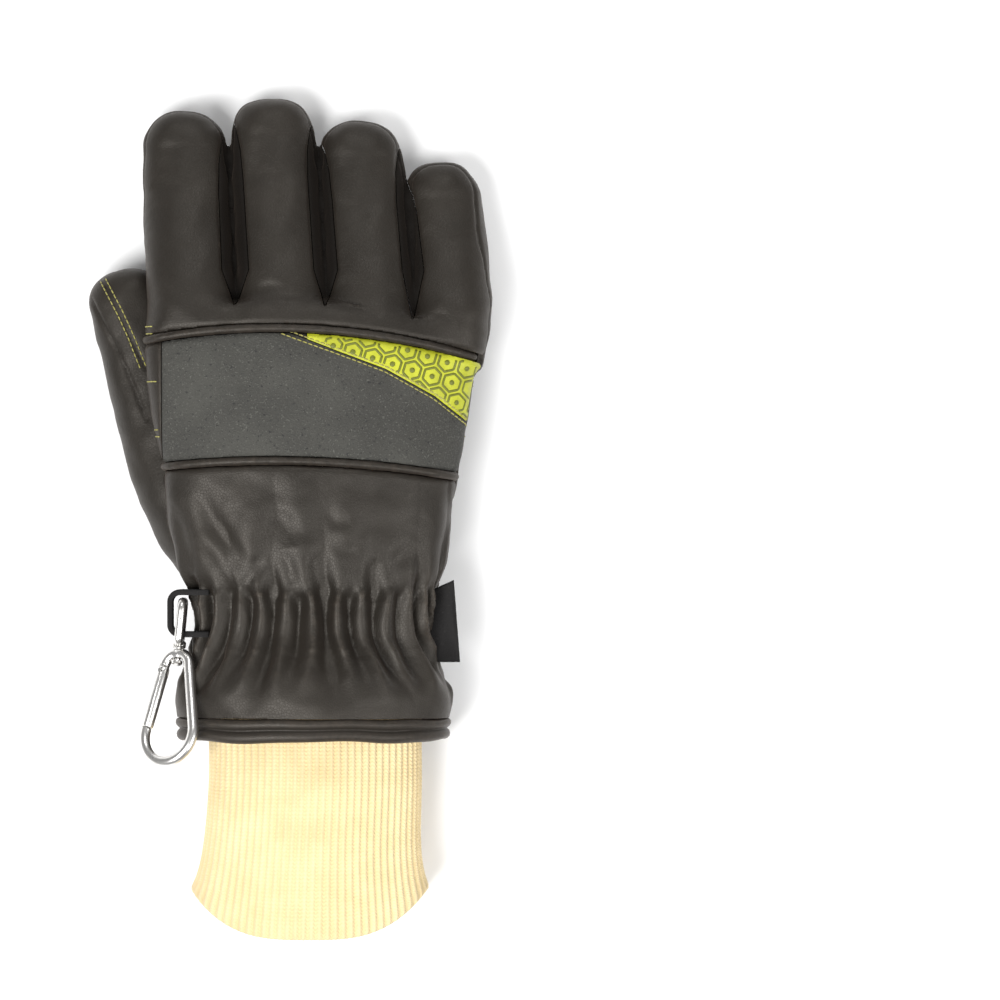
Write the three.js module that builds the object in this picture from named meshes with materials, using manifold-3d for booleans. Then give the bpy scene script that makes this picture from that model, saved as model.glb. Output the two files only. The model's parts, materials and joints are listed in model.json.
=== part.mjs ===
// Firefighter glove for the right hand, lying palm down: a leather hand sewn from panels, a knuckle
// band between two welts, a gathered gauntlet, a ribbed knit wrist and a swivel hook on a strap.
// Millimetres, +Z up, +Y towards the fingertips, +X towards the little finger.
// Y counts from the hem while the pieces are made, and the finished group is moved so that its
// origin lies on the surface under the middle of its box.
import * as THREE from "three";
import { mergeVertices } from "three/addons/utils/BufferGeometryUtils.js";
import Module from "manifold-3d";

const wasm = await Module();
wasm.setup();

// Leather hand: overall sizes
const bodyLength = 176; // hem to finger crotches
const bodyWidth = 139; // across the knuckles
const bodyThickness = 44; // through the middle of the hand
const handRoll = 4; // how far the thumb props up the index side
const knuckleDrop = 12; // how far the knuckle line falls back at the little finger
const leatherWall = 3; // leather, membrane and lining together
const seamGap = 0.3; // between neighbouring pieces
const seamHeight = 30; // side seams, above the surface

// Fingers and thumb
const fingerLength = 82; // crotch to tip of the middle finger
const fingerWidth = 34;
const fingerThickness = 31;
const fingertipHeight = 13.4; // centre of a fingertip above the surface it is flattened on
const fingertipLength = 15; // the rounded end
const fingerRootShare = 0.84; // where the fingers begin inside the body, of its length
const fingerRoundness = 2.3; // exponent of the oval of fingers and thumb
const endTurns = [30, 55, 76]; // degrees, the rows of points round a rounded end
const sideStripInset = 4; // the side strips reach this far over the top and the palm side
const sideStripEnd = 13; // from a fingertip
const sideStripFoot = 4.7; // below the crotch
const sideStripTaper = 2; // on each side, at its foot
const sideStripShoulder = 4; // above the crotch, where it has its full width
const sideStripPoint = 4; // its ends rise to a point in the gap between the fingers
const thumbWidth = 34;
const thumbThickness = 28;
const thumbTipLength = 13; // the rounded end

// Knuckle band, welts and palm patch
const lowerWeltShare = 0.634; // shares of the body length, from the hem
const upperWeltShare = 0.934;
const weltRadius = 1.6;
const weltSink = 0.35; // share of its radius that lies below the leather
const patchWrap = 62; // the palm patch wraps over the index edge as far as this from the middle
const heelSeamX = 1; // seam down the heel of the palm

// Gathered gauntlet and hem
const gatherShare = 0.265;
const flareShare = 0.1; // where the flare is widest
const gatherDepth = 1.5;
const gatherPuckers = 22;
const hemLength = 9;
const hemWall = 4.2;
const hemProud = 0.5;
const hemCrown = 0.5; // its middle stands this much higher than its edges
const hemShoulder = 0.4;
const hemBevel = 0.7; // of its inner edges

// Knit wrist and the suede strip under it
const knitLength = 78; // from the hem outwards
const knitWall = 2.6;
const knitRibs = 54;
const knitRibDepth = 0.35;
const knitClearance = 0.75; // to the lining
const knitTopShare = 0.27; // where it is sewn to the gathered lining
const guardThickness = 1.5;
const guardTuck = 14; // length of the strip inside the gauntlet
const guardProud = 2; // past the end of the knit
const knitRoundness = 2.2; // exponent of its oval

// Strap on the thumb side seam
const strapWidth = 10;
const strapThickness = 2.4;
const strapRoot = 50.8; // middle of the strap, from the hem
const strapSpread = 16.8; // between the middles of its two runs
const strapTurn = 5; // radius of its bends
const strapPlay = 0.3; // between its inside and the wire of the eye
const strapHeight = 38;
const rootShare = 0.4; // of the half width, where strap and label start inside the hand

// Swivel eye, and the snap hook that turns on its shank
const eyeWireRadius = 1.7;
const eyeClearance = 1.3; // between the strap's edges and the eye
const eyeLength = 16.4; // wire middle to wire middle
const eyeTurn = 3.5; // radius of its bends
const swivelBlockRadius = 2.8;
const swivelBlockLength = 2;
const swivelBlockSeat = 0.6; // it runs this far into the eye's wire
const swivelShankRadius = 1.2;
const swivelKnobRadius = 2.2;
const swivelKnobLength = 1.8;
const swivelGap = 0.3;
const neckOut = 0.3; // where the hook meets the swivel block, outside the gauntlet's shoulder
const neckY = 36.8;
const hookClearance = 0.3; // between the parts of the hook
const hookWireRadius = 2.1;
const hookWindowLength = 45; // across the window, wire middle to wire middle
const hookEndRadius = 11.6; // wide end, to the middle of the wire
const hookNeckRadius = 6; // narrow end
const hookBarDip = 0.8; // the narrow end dips between its two corners
const hookBarTurn = 0.25; // radians of each corner that the dip takes
const hookPlan = 5.5; // degrees, away from the glove
const hookPitch = 18; // degrees, up on to the shoulder of the gauntlet
const hookRoll = 33; // degrees, with the inner leg on the shoulder
const gatePinRadius = 0.8;
const gatePinProud = 0.3; // at each end
const gatePinOut = 0.1; // from the wire's line
const gatePinBack = 1.2; // from the end of the neck's bend
const gateProud = 0.2; // of the wire
const gateFoot = 2; // its web starts this far from the pin
const gateOpening = 25; // degrees
const gateWidth = 5.2;
const gateWeb = 1.2;
const gateRatio = 0.86; // of the distance between the hook's two turns
const tongueLength = 4.5;
const pinTongueLength = 3.5;
const tongueThickness = 1.8;

// Label in the little finger's side seam
const labelLength = 33;
const labelProud = 14; // free edge, from the side of the gather
const labelSlant = 2.5; // its top edge is this much shorter
const labelRise = 6; // and falls this much towards the hand
const labelThickness = 1;
const labelStart = 31; // from the hem

const halfWidth = bodyWidth / 2;
const tau = 2 * Math.PI;
const { degToRad } = THREE.MathUtils;

// Cross sections of the body: station along it, its two edges, centre height, half height and
// roll, as shares of the body's length, half width, thickness, thickness and hand roll, and the
// exponents of the oval above and below its centre, 2 for an ellipse
const bodySections = [
  { at: 0, left: -0.8, right: 0.735, middle: 0.63, half: 0.715, roll: 0, crown: 2.1, belly: 4 },
  { at: 0.05, left: -0.816, right: 0.752, middle: 0.63, half: 0.73, roll: 0, crown: 2.1, belly: 4 },
  { at: 0.1, left: -0.829, right: 0.771, middle: 0.64, half: 0.72, roll: 0, crown: 2.1, belly: 3.8 },
  { at: 0.145, left: -0.8, right: 0.745, middle: 0.64, half: 0.68, roll: 0, crown: 2.15, belly: 3.2 },
  { at: 0.193, left: -0.725, right: 0.672, middle: 0.62, half: 0.585, roll: 0, crown: 2.3, belly: 2.6 },
  { at: 0.24, left: -0.685, right: 0.62, middle: 0.605, half: 0.535, roll: 0, crown: 2.4, belly: 2.4 },
  { at: 0.29, left: -0.685, right: 0.627, middle: 0.605, half: 0.53, roll: 0.05, crown: 2.5, belly: 2.5 },
  { at: 0.341, left: -0.734, right: 0.673, middle: 0.62, half: 0.54, roll: 0.15, crown: 2.5, belly: 2.5 },
  { at: 0.392, left: -0.806, right: 0.719, middle: 0.65, half: 0.55, roll: 0.3, crown: 2.5, belly: 2.5 },
  { at: 0.483, left: -0.863, right: 0.757, middle: 0.68, half: 0.545, roll: 0.5, crown: 2.5, belly: 2.5 },
  { at: 0.568, left: -0.882, right: 0.766, middle: 0.7, half: 0.53, roll: 0.7, crown: 2.5, belly: 2.5 },
  { at: 0.634, left: -0.892, right: 0.805, middle: 0.71, half: 0.515, roll: 0.85, crown: 2.5, belly: 2.5 },
  { at: 0.739, left: -0.95, right: 0.842, middle: 0.72, half: 0.49, roll: 1, crown: 2.5, belly: 2.5 },
  { at: 0.852, left: -0.986, right: 0.885, middle: 0.72, half: 0.455, roll: 1, crown: 2.5, belly: 2.5 },
  { at: 0.934, left: -1, right: 0.93, middle: 0.7, half: 0.42, roll: 1, crown: 2.5, belly: 2.5 },
  { at: 1, left: -1, right: 0.97, middle: 0.68, half: 0.385, roll: 1, crown: 2.5, belly: 2.5 },
];

// Soft folds of the leather round the body: centre and half spread along it, as shares of its
// length, count round the section, depth as a share of the gather's depth, and phase
const bodyFolds = [
  { at: gatherShare, spread: 0.1, count: gatherPuckers, depth: 1, phase: 0 },
  { at: 0.44, spread: 0.16, count: 8, depth: 0.45, phase: 0.7 },
];

// Fingers: root and tip across the hand as shares of its half width, reach and width as shares of
// the finger length and width
const fingers = [
  { name: "index", root: -0.745, tip: -0.79, reach: 0.937, width: 1 },
  { name: "middle", root: -0.232, tip: -0.285, reach: 1, width: 1.006 },
  { name: "ring", root: 0.278, tip: 0.225, reach: 0.89, width: 1 },
  { name: "little", root: 0.762, tip: 0.703, reach: 0.688, width: 0.9 },
];

// Width, thickness and fall of a finger from its root to the start of its rounded tip, as shares
const fingerSections = [
  { at: 0, width: 0.82, thickness: 0.8, fall: 0 },
  { at: 0.15, width: 0.96, thickness: 0.96, fall: 0.03 },
  { at: 0.3, width: 1.02, thickness: 1.06, fall: 0.12 },
  { at: 0.55, width: 1, thickness: 1.0, fall: 0.45 },
  { at: 0.8, width: 1, thickness: 0.92, fall: 0.82 },
  { at: 1, width: 0.97, thickness: 0.87, fall: 1 },
];

// Thumb and the ball of the thumb, base to tip: place as shares of the body's half width, length
// and thickness, and widths and thicknesses as shares of the thumb's own
const thumbSections = [
  { x: -0.3, y: 0.36, z: 0.5, width: 1.35, thickness: 1.05 },
  { x: -0.55, y: 0.5, z: 0.46, width: 1.6, thickness: 1.25 },
  { x: -0.77, y: 0.64, z: 0.38, width: 1.42, thickness: 1.2 },
  { x: -0.93, y: 0.77, z: 0.325, width: 1.12, thickness: 1.06 },
  { x: -1.03, y: 0.89, z: 0.305, width: 1.0, thickness: 1.0 },
  { x: -1.12, y: 1.0, z: 0.295, width: 0.92, thickness: 0.94 },
];

// Knit wrist: station as a share of its length from the hem outwards, its edges and its bottom and
// top as shares of the body's half width and thickness; inside, the leather's lining limits it
const knitSections = [
  { at: 0.97, left: -0.735, right: 0.625, bottom: -0.05, top: 1.08 },
  { at: 0.6, left: -0.67, right: 0.585, bottom: -0.04, top: 1.04 },
  { at: 0.2, left: -0.635, right: 0.59, bottom: -0.02, top: 1.03 },
  { at: -0.1, left: -0.635, right: 0.59, bottom: 0.1, top: 1.04 },
  { at: -0.3, left: -0.64, right: 0.59, bottom: 0.12, top: 1.04 },
  { at: -0.5, left: -0.8, right: 0.8, bottom: 0, top: 1.2 },
];

// Edges of the palm patch and of the bright wedge, as shares of the half width and body length
const patchTop = [
  { x: -1.2, y: 0.905 },
  { x: -0.87, y: 0.92 },
  { x: -0.006, y: 0.96 },
  { x: 0.93, y: 0.818 },
  { x: 1.3, y: 0.76 },
];
const patchBottom = [
  { x: -1.2, y: 0.69 },
  { x: -0.35, y: 0.682 },
  { x: 0.754, y: 0.545 },
  { x: 1.3, y: 0.477 },
];
const wedgeLowerEdge = [
  { x: -0.33, y: 0.945 },
  { x: -0.16, y: 0.925 },
  { x: 0.115, y: 0.882 },
  { x: 0.394, y: 0.841 },
  { x: 0.673, y: 0.78 },
  { x: 0.86, y: 0.722 },
  { x: 1.3, y: 0.58 },
];

// Cubic curve through one column of a table, read at a place along it
function columnAt(rows, key, at) {
  const rising = rows[rows.length - 1].at > rows[0].at;
  const list = rising ? rows : [...rows].reverse();
  const last = list.length - 1;
  if (at <= list[0].at) return list[0][key];
  if (at >= list[last].at) return list[last][key];
  const i = list.findIndex((row) => row.at > at) - 1;
  const slope = (k) => {
    const a = list[Math.max(k - 1, 0)];
    const b = list[Math.min(k + 1, last)];
    return (b[key] - a[key]) / (b.at - a.at);
  };
  const span = list[i + 1].at - list[i].at;
  const u = (at - list[i].at) / span;
  const rise = u * u * (3 - 2 * u);
  const lead = u * (1 - u) * (1 - u) * slope(i) - u * u * (1 - u) * slope(i + 1);
  return list[i][key] * (1 - rise) + list[i + 1][key] * rise + span * lead;
}

// Bell shape, 1 at its centre and 0 past its spread
function bell(distance, spread) {
  const u = Math.min(Math.abs(distance) / spread, 1);
  return (1 - u * u) ** 2;
}

// Point of an oval section at an angle, as offsets of its half width and half height
function oval(angle, wide, high, roundness) {
  const c = Math.cos(angle);
  const s = Math.sin(angle);
  return [
    wide * Math.sign(c) * Math.abs(c) ** (2 / roundness),
    high * Math.sign(s) * Math.abs(s) ** (2 / roundness),
  ];
}

// How far a line across the hand falls back at x, for one that falls knuckleDrop at the little finger
const knuckleArc = (x) => -knuckleDrop * ((x / halfWidth + 0.25) / 1.15) ** 2;

// Y of the line across the hand at a station of the body
const lineAcross = (at, x) => at * bodyLength + Math.max(at, 0) * knuckleArc(x);

// Height of the middle of the hand at a station and across it
function middleHeight(at, x) {
  const middle = columnAt(bodySections, "middle", at) * bodyThickness;
  return middle - columnAt(bodySections, "roll", at) * handRoll * (x / halfWidth);
}

// Point of the body's surface at a station and angle, grown outwards or, if negative, shrunk
function bodyPoint(at, angle, grow, folded = false) {
  const left = columnAt(bodySections, "left", at) * halfWidth;
  const right = columnAt(bodySections, "right", at) * halfWidth;
  const high = columnAt(bodySections, "half", at) * bodyThickness;
  const folds = bodyFolds.map(
    (f) => gatherDepth * f.depth * bell(at - f.at, f.spread) * Math.cos(f.count * angle + f.phase),
  );
  const out = grow + (folded ? folds.reduce((a, b) => a + b, 0) : 0);
  const round = columnAt(bodySections, Math.sin(angle) > 0 ? "crown" : "belly", at);
  const [dx, dz] = oval(angle, (right - left) / 2 + out, high + out, round);
  const x = (left + right) / 2 + dx;
  const z = middleHeight(at, x) + dz;
  return new THREE.Vector3(x, lineAcross(at, x), Math.max(z, -Math.min(grow, 0)));
}

// Closed solid over a row of equal rings of points, its ends closed halfway between top and bottom
function loft(rings) {
  const sides = rings[0].length;
  const centre = (ring) => ring[Math.round(sides / 4)].clone().lerp(ring[Math.round((3 * sides) / 4)], 0.5);
  const points = [...rings.flat(), centre(rings[0]), centre(rings[rings.length - 1])];
  const faces = [];
  for (let i = 0; i < rings.length - 1; i++)
    for (let j = 0; j < sides; j++) {
      const a = i * sides + j;
      const b = i * sides + ((j + 1) % sides);
      faces.push(a, b, b + sides, a, b + sides, a + sides);
    }
  const first = rings.length * sides;
  const end = first - sides;
  for (let j = 0; j < sides; j++) {
    const k = (j + 1) % sides;
    faces.push(first, k, j, first + 1, end + j, end + k);
  }
  return solidFrom(points, faces);
}

// Closed ring over a section of points swept once round; pointAt gives the place of one of them
function hoop(sides, sectionCount, pointAt) {
  const points = [];
  const faces = [];
  for (let j = 0; j < sides; j++)
    for (let k = 0; k < sectionCount; k++) {
      points.push(pointAt((tau * j) / sides, k));
      const a = j * sectionCount + k;
      const b = j * sectionCount + ((k + 1) % sectionCount);
      const step = (((j + 1) % sides) - j) * sectionCount;
      faces.push(a, b, b + step, a, b + step, a + step);
    }
  return solidFrom(points, faces);
}

function solidFrom(points, faces) {
  const made = new wasm.Manifold(
    new wasm.Mesh({
      numProp: 3,
      vertProperties: new Float32Array(points.flatMap((p) => [p.x, p.y, p.z])),
      triVerts: new Uint32Array(faces),
    }),
  );
  if (made.volume() > 0) return made;
  const turned = faces.map((_, i) => faces[i + [0, 1, -1][i % 3]]);
  return solidFrom(points, turned);
}

function solidOf(geometry, matrix = new THREE.Matrix4()) {
  const bare = new THREE.BufferGeometry();
  bare.setAttribute("position", geometry.getAttribute("position").clone());
  if (geometry.index) bare.setIndex(geometry.index);
  const merged = mergeVertices(bare.applyMatrix4(matrix), 1e-4);
  return new wasm.Manifold(
    new wasm.Mesh({
      numProp: 3,
      vertProperties: merged.attributes.position.array,
      triVerts: new Uint32Array(merged.index.array),
    }),
  );
}

// Upright prism over an outline of [x, y] points
function prism(outline, low, high) {
  const shape = new THREE.Shape(outline.map(([x, y]) => new THREE.Vector2(x, y)));
  const geometry = new THREE.ExtrudeGeometry(shape, { depth: high - low, bevelEnabled: false });
  return solidOf(geometry.translate(0, 0, low));
}

const join = (solids) => solids.reduce((a, b) => a.add(b));
const rangeOf = (count, from, to) =>
  Array.from({ length: count + 1 }, (_, i) => from + ((to - from) * i) / count);

// Body of the hand
const bodySides = 3 * gatherPuckers;
const ringOf = (sides, point) => Array.from({ length: sides }, (_, j) => point((tau * j) / sides));
const bodyStations = [
  0, 0.05, 0.1, 0.145, 0.19, 0.24, 0.29, 0.34, 0.4, 0.5, 0.63, 0.78, 0.93, 1,
];
const bodyOuter = (grow, folded, sides = bodySides) =>
  loft(bodyStations.map((at) => ringOf(sides, (a) => bodyPoint(at, a, grow, folded))));
const cavityEnd = 1 - leatherWall / bodyLength;
const cavityStations = [-0.1, 0.1, 0.145, 0.19, 0.27, 0.34, 0.45, 0.63, 0.8, cavityEnd];
const bodyCavity = loft(
  cavityStations.map((at) => ringOf(32, (a) => bodyPoint(at, a, -leatherWall))),
);

// A finger or its cavity, grown or shrunk
function fingerSolid(finger, grow, sides) {
  const rootY = fingerRootShare * bodyLength - grow;
  const tipX = finger.tip * halfWidth;
  const rootX = finger.root * halfWidth;
  const tipY = bodyLength + finger.reach * fingerLength + grow;
  const capLength = Math.min(fingertipLength + grow, tipY - rootY);
  const capY = tipY - capLength;
  const sectionAt = (y, shrink) => {
    const at = (y - rootY) / (capY - rootY);
    const wide = (columnAt(fingerSections, "width", at) * finger.width * fingerWidth) / 2 + grow;
    const high = (columnAt(fingerSections, "thickness", at) * fingerThickness) / 2 + grow;
    const slant = (y - bodyLength) / (finger.reach * fingerLength);
    const x = rootX + (tipX - rootX) * Math.max(slant, 0);
    const fall = columnAt(fingerSections, "fall", at);
    const z = middleHeight(1, rootX) * (1 - fall) + fingertipHeight * fall;
    return ringOf(sides, (angle) => {
      const [dx, dz] = oval(angle, wide * shrink, high * shrink, fingerRoundness);
      return new THREE.Vector3(x + dx, y, Math.max(z + dz, -Math.min(grow, 0)));
    });
  };
  const shaft = rangeOf(6, rootY, capY).map((y) => sectionAt(y, 1));
  const cap = endTurns.map((degrees) => {
    const a = degToRad(degrees);
    return sectionAt(capY + capLength * Math.sin(a), Math.cos(a) ** 0.75);
  });
  return loft([...shaft, ...cap]);
}

// The thumb or its cavity: sections square to a smooth spine
function thumbSolid(grow, sides) {
  const spine = new THREE.CatmullRomCurve3(
    thumbSections.map(
      (s) => new THREE.Vector3(s.x * halfWidth, s.y * bodyLength, s.z * bodyThickness),
    ),
    false,
    "centripetal",
  );
  const rows = thumbSections.map((s, i) => ({ ...s, at: i / (thumbSections.length - 1) }));
  const ahead = spine.getTangent(1);
  const ringAt = (at, beyond, shrink) => {
    const centre = spine.getPoint(at).addScaledVector(ahead, beyond);
    const along = spine.getTangent(at).setZ(0).normalize();
    const across = new THREE.Vector3(along.y, -along.x, 0);
    const wide = ((columnAt(rows, "width", at) * thumbWidth) / 2 + grow) * shrink;
    const high = ((columnAt(rows, "thickness", at) * thumbThickness) / 2 + grow) * shrink;
    return ringOf(sides, (angle) => {
      const [dx, dz] = oval(angle, wide, high, fingerRoundness);
      const p = centre.clone().addScaledVector(across, dx);
      return p.setZ(Math.max(centre.z + dz, -Math.min(grow, 0)));
    });
  };
  const shaft = rangeOf(7, 0, 1).map((at) => ringAt(at, 0, 1));
  const cap = endTurns.map((degrees) => {
    const a = degToRad(degrees);
    return ringAt(1, (thumbTipLength + grow) * Math.sin(a), Math.cos(a) ** 0.8);
  });
  return loft([...shaft, ...cap]);
}

const fingerSides = 16;
const cavitySides = 12;
const fingersOuter = join(fingers.map((f) => fingerSolid(f, 0, fingerSides)));
const fingersGrown = join(fingers.map((f) => fingerSolid(f, seamGap, fingerSides)));
const fingerCavities = join(fingers.map((f) => fingerSolid(f, -leatherWall, cavitySides)));
const thumbCavity = thumbSolid(-leatherWall, 14);
const cavity = bodyCavity.add(fingerCavities).add(thumbCavity);
const handShell = bodyOuter(0, true).add(fingersOuter).subtract(cavity);
const bodyGrown = bodyOuter(seamGap, true);

// Outlines that cut the shell into its sewn panels
const farX = 1.5 * halfWidth;
const farY = bodyLength + 2 * fingerLength;
const farZ = 3 * bodyThickness;
const across = rangeOf(16, -farX, farX);
const lineOf = (at, shift) => across.map((x) => [x, lineAcross(at, x) + shift]);
const pointsOf = (rows, shift) => rows.map((p) => [p.x * halfWidth, p.y * bodyLength + shift]);
const above = (line) => [...line, [line[line.length - 1][0], farY], [line[0][0], farY]];
const between = (low, high) => [...low, ...[...high].reverse()];

const halfGap = seamGap / 2;
const weltRoom = weltRadius + seamGap;
const backHalf = (outline) => prism(outline, seamHeight + halfGap, farZ);
const palmHalf = (outline) => prism(outline, -1, seamHeight - halfGap);
const rightOf = (x, low, high) => [[x, low], [farX, low], [farX, high], [x, high]];
const leftOf = (x, low, high) => [[-farX, low], [x, low], [x, high], [-farX, high]];

// X of a finger's left, -1, or right edge, 1, less an inset, and of the middle of the gap between two
function edgeX(finger, y, side, inset = 0) {
  const slant = Math.max((y - bodyLength) / (finger.reach * fingerLength), 0);
  const x = finger.root + (finger.tip - finger.root) * slant;
  return x * halfWidth + side * ((finger.width * fingerWidth) / 2 - inset);
}
const gapX = (left, right, y) => (edgeX(left, y, 1) + edgeX(right, y, -1)) / 2;

// Strips between the fingers: each covers the two sides that face each other, down to the crotch
function sideStrip(left, right, grow) {
  const inset = sideStripInset + grow;
  const endOf = (finger) => bodyLength + finger.reach * fingerLength - sideStripEnd + grow;
  const foot = lineAcross(1, gapX(left, right, bodyLength)) - sideStripFoot - grow;
  const leftEnd = endOf(left);
  const rightEnd = endOf(right);
  return prism(
    [
      [edgeX(left, foot, 1, inset) + sideStripTaper, foot],
      [edgeX(right, foot, -1, inset) - sideStripTaper, foot],
      [edgeX(right, bodyLength, -1, inset), bodyLength + sideStripShoulder],
      [edgeX(right, rightEnd, -1, inset), rightEnd],
      [gapX(left, right, rightEnd) + halfGap, rightEnd + sideStripPoint],
      [gapX(left, right, leftEnd) - halfGap, leftEnd + sideStripPoint],
      [edgeX(left, leftEnd, 1, inset), leftEnd],
      [edgeX(left, bodyLength, 1, inset), bodyLength + sideStripShoulder],
    ],
    -1,
    farZ,
  );
}
const stripOf = (i) => handShell.intersect(sideStrip(fingers[i], fingers[i + 1], 0));

// Side seam of the fingers: it falls with them towards the tips
const seamFall = [
  { at: 0, height: 1 },
  { at: 0.96, height: 1 },
  { at: 1.13, height: 0.87 },
  { at: 1.28, height: 0.66 },
  { at: 1.6, height: 0.5 },
];
function overSeam(shift, top) {
  const line = seamFall.map((s) => [s.at * bodyLength, s.height * seamHeight + shift]);
  const ends = [[line[line.length - 1][0], top], [line[0][0], top]];
  const shape = new THREE.Shape([...line, ...ends].map(([y, z]) => new THREE.Vector2(y, z)));
  const sweep = new THREE.ExtrudeGeometry(shape, { depth: 2 * farX, bevelEnabled: false });
  const turn = new THREE.Matrix4().set(0, 0, 1, -farX, 1, 0, 0, 0, 0, 1, 0, 0, 0, 0, 0, 1);
  return solidOf(sweep, turn);
}

// Fingers: each has a back, which reaches over the knuckle to the upper welt, and a front, which
// reaches down to the palm patch; the strips lie between them, and below the strips they meet
const stripRoom = join([0, 1, 2].map((i) => sideStrip(fingers[i], fingers[i + 1], seamGap)));
const fingerBacks = handShell
  .intersect(prism(above(lineOf(upperWeltShare, weltRoom)), -1, farZ))
  .intersect(overSeam(halfGap, farZ))
  .subtract(stripRoom);
const fingerFronts = handShell
  .intersect(prism(above(pointsOf(patchTop, halfGap)), -1, farZ))
  .intersect(overSeam(-halfGap, -1))
  .subtract(stripRoom);
function fingerZone(i) {
  const divider = (left, right, shift) =>
    [0, bodyLength, farY].map((y) => [gapX(left, right, y) + shift, y]);
  const edge = (x) => [[x, 0], [x, farY]];
  const low = i === 0 ? edge(-farX) : divider(fingers[i - 1], fingers[i], halfGap);
  const high = i === fingers.length - 1 ? edge(farX) : divider(fingers[i], fingers[i + 1], -halfGap);
  return prism(between(high, low), -1, farZ);
}

// Knuckle band, with the bright wedge let into its corner
const bandTop = lineOf(upperWeltShare, -weltRoom);
const bandRegion = backHalf(between(lineOf(lowerWeltShare, weltRoom), bandTop)).intersect(
  backHalf(rightOf(-patchWrap + halfGap, 0, farY)),
);
const wedgeRegion = (shift) => backHalf(above(pointsOf(wedgeLowerEdge, shift)));
const knuckleBand = handShell.intersect(bandRegion).subtract(wedgeRegion(-halfGap));
const brightWedge = handShell.intersect(bandRegion).intersect(wedgeRegion(halfGap));

// Palm patch, wrapped up over the index edge
const patchRegion = palmHalf(between(pointsOf(patchBottom, halfGap), pointsOf(patchTop, -halfGap)));
const wrapLow = lineOf(lowerWeltShare, weltRoom);
const wrapHigh = lineOf(upperWeltShare, -weltRoom);
const wrapSide = prism(leftOf(-patchWrap - halfGap, 0, farY), 0, farZ);
const wrapRegion = prism(between(wrapLow, wrapHigh), seamHeight + halfGap, farZ).intersect(wrapSide);
const wrapFold = prism(between(wrapLow, wrapHigh), seamHeight - seamGap, seamHeight + seamGap)
  .intersect(prism(between(pointsOf(patchBottom, halfGap), pointsOf(patchTop, -halfGap)), 0, farZ))
  .intersect(wrapSide);
const palmPatch = handShell.intersect(patchRegion.add(wrapRegion).add(wrapFold));

// Gauntlet: one back panel and two heel panels
const gauntletBack = handShell.intersect(
  backHalf(between(lineOf(hemLength / bodyLength, seamGap), lineOf(lowerWeltShare, -weltRoom))),
);
const heelRegion = palmHalf(
  between(lineOf(hemLength / bodyLength, seamGap), pointsOf(patchBottom, -halfGap)),
);
const heelOf = (side) => handShell.intersect(heelRegion).intersect(palmHalf(side));
const heelThumbSide = heelOf(leftOf(heelSeamX - halfGap, 0, farY));
const heelLittleSide = heelOf(rightOf(heelSeamX + halfGap, 0, farY));

// Thumb: a tube set into the palm, with the ball of the thumb
const thumb = thumbSolid(0, 20)
  .subtract(thumbCavity)
  .subtract(bodyGrown)
  .subtract(fingersGrown)
  .subtract(bodyCavity);

// Welt: a round piping seated in the seam across the back
function welt(at) {
  const span = rangeOf(24, 0.02, 0.98).map((share) => Math.PI * (1 - share));
  const path = span
    .map((angle) => bodyPoint(at, angle, -weltSink * weltRadius))
    .filter((p) => p.z > seamHeight + weltRadius + seamGap);
  const curve = new THREE.CatmullRomCurve3(path, false, "centripetal");
  const section = new THREE.Shape().absarc(0, 0, weltRadius, 0, tau);
  return solidOf(
    new THREE.ExtrudeGeometry(section, {
      extrudePath: curve,
      steps: 18,
      curveSegments: 3,
      bevelEnabled: false,
    }),
  );
}

// Hem: a folded leather ring round the mouth of the gauntlet
const hemSection = [
  [0.06, hemProud],
  [0.5, hemProud + hemCrown],
  [0.94, hemProud],
  [1, -hemShoulder],
  [1, -hemWall + hemBevel],
  [0.85, -hemWall],
  [0.15, -hemWall],
  [0, -hemWall + hemBevel],
  [0, -hemShoulder],
];
const hem = hoop(44, hemSection.length, (angle, k) => {
  const [share, grow] = hemSection[k];
  return bodyPoint((share * hemLength) / bodyLength, angle, grow);
});

// How high the strip and the knit are lifted over the lip of the hem, at a distance from it
const lipLift = (y) => (hemWall + seamGap) * THREE.MathUtils.clamp(1 + y / guardTuck, 0, 1);

// Knit wrist: ribbed outside, sewn in at the gather
function knitPoint(at, angle, grow, ribbed) {
  const y = -at * knitLength;
  const lining = (key) => columnAt(bodySections, key, y / bodyLength);
  const inset = leatherWall + knitClearance + knitRibDepth;
  const inside = y > 0;
  const limit = (value, low, high) => (inside ? THREE.MathUtils.clamp(value, low, high) : value);
  const liningLeft = lining("left") * halfWidth + inset;
  const liningRight = lining("right") * halfWidth - inset;
  const liningTop = (lining("middle") + lining("half")) * bodyThickness - inset;
  const left = limit(columnAt(knitSections, "left", at) * halfWidth, liningLeft, 0);
  const right = limit(columnAt(knitSections, "right", at) * halfWidth, 0, liningRight);
  const top = limit(columnAt(knitSections, "top", at) * bodyThickness, 0, liningTop);
  const floor = (lining("middle") - lining("half")) * bodyThickness + inset;
  const bottom = limit(columnAt(knitSections, "bottom", at) * bodyThickness, floor, top);
  const out = grow + (ribbed ? knitRibDepth * Math.cos(knitRibs * angle) : 0);
  const [dx, dz] = oval(angle, (right - left) / 2 + out, (top - bottom) / 2 + out, knitRoundness);
  const x = (left + right) / 2 + dx;
  const rest = y > guardTuck ? 0 : lipLift(y) + guardThickness + seamGap;
  return new THREE.Vector3(x, y, Math.max((top + bottom) / 2 + dz, rest - Math.min(grow, 0)));
}
const knitTop = -(knitTopShare * bodyLength) / knitLength;
const tuckAt = guardTuck / knitLength;
const knitStations = [1, 0.6, tuckAt, 0, -tuckAt, -0.43, knitTop];
const knitLoft = (stations, sides, grow, ribbed) =>
  loft(stations.map((at) => ringOf(sides, (angle) => knitPoint(at, angle, grow, ribbed))));
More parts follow.
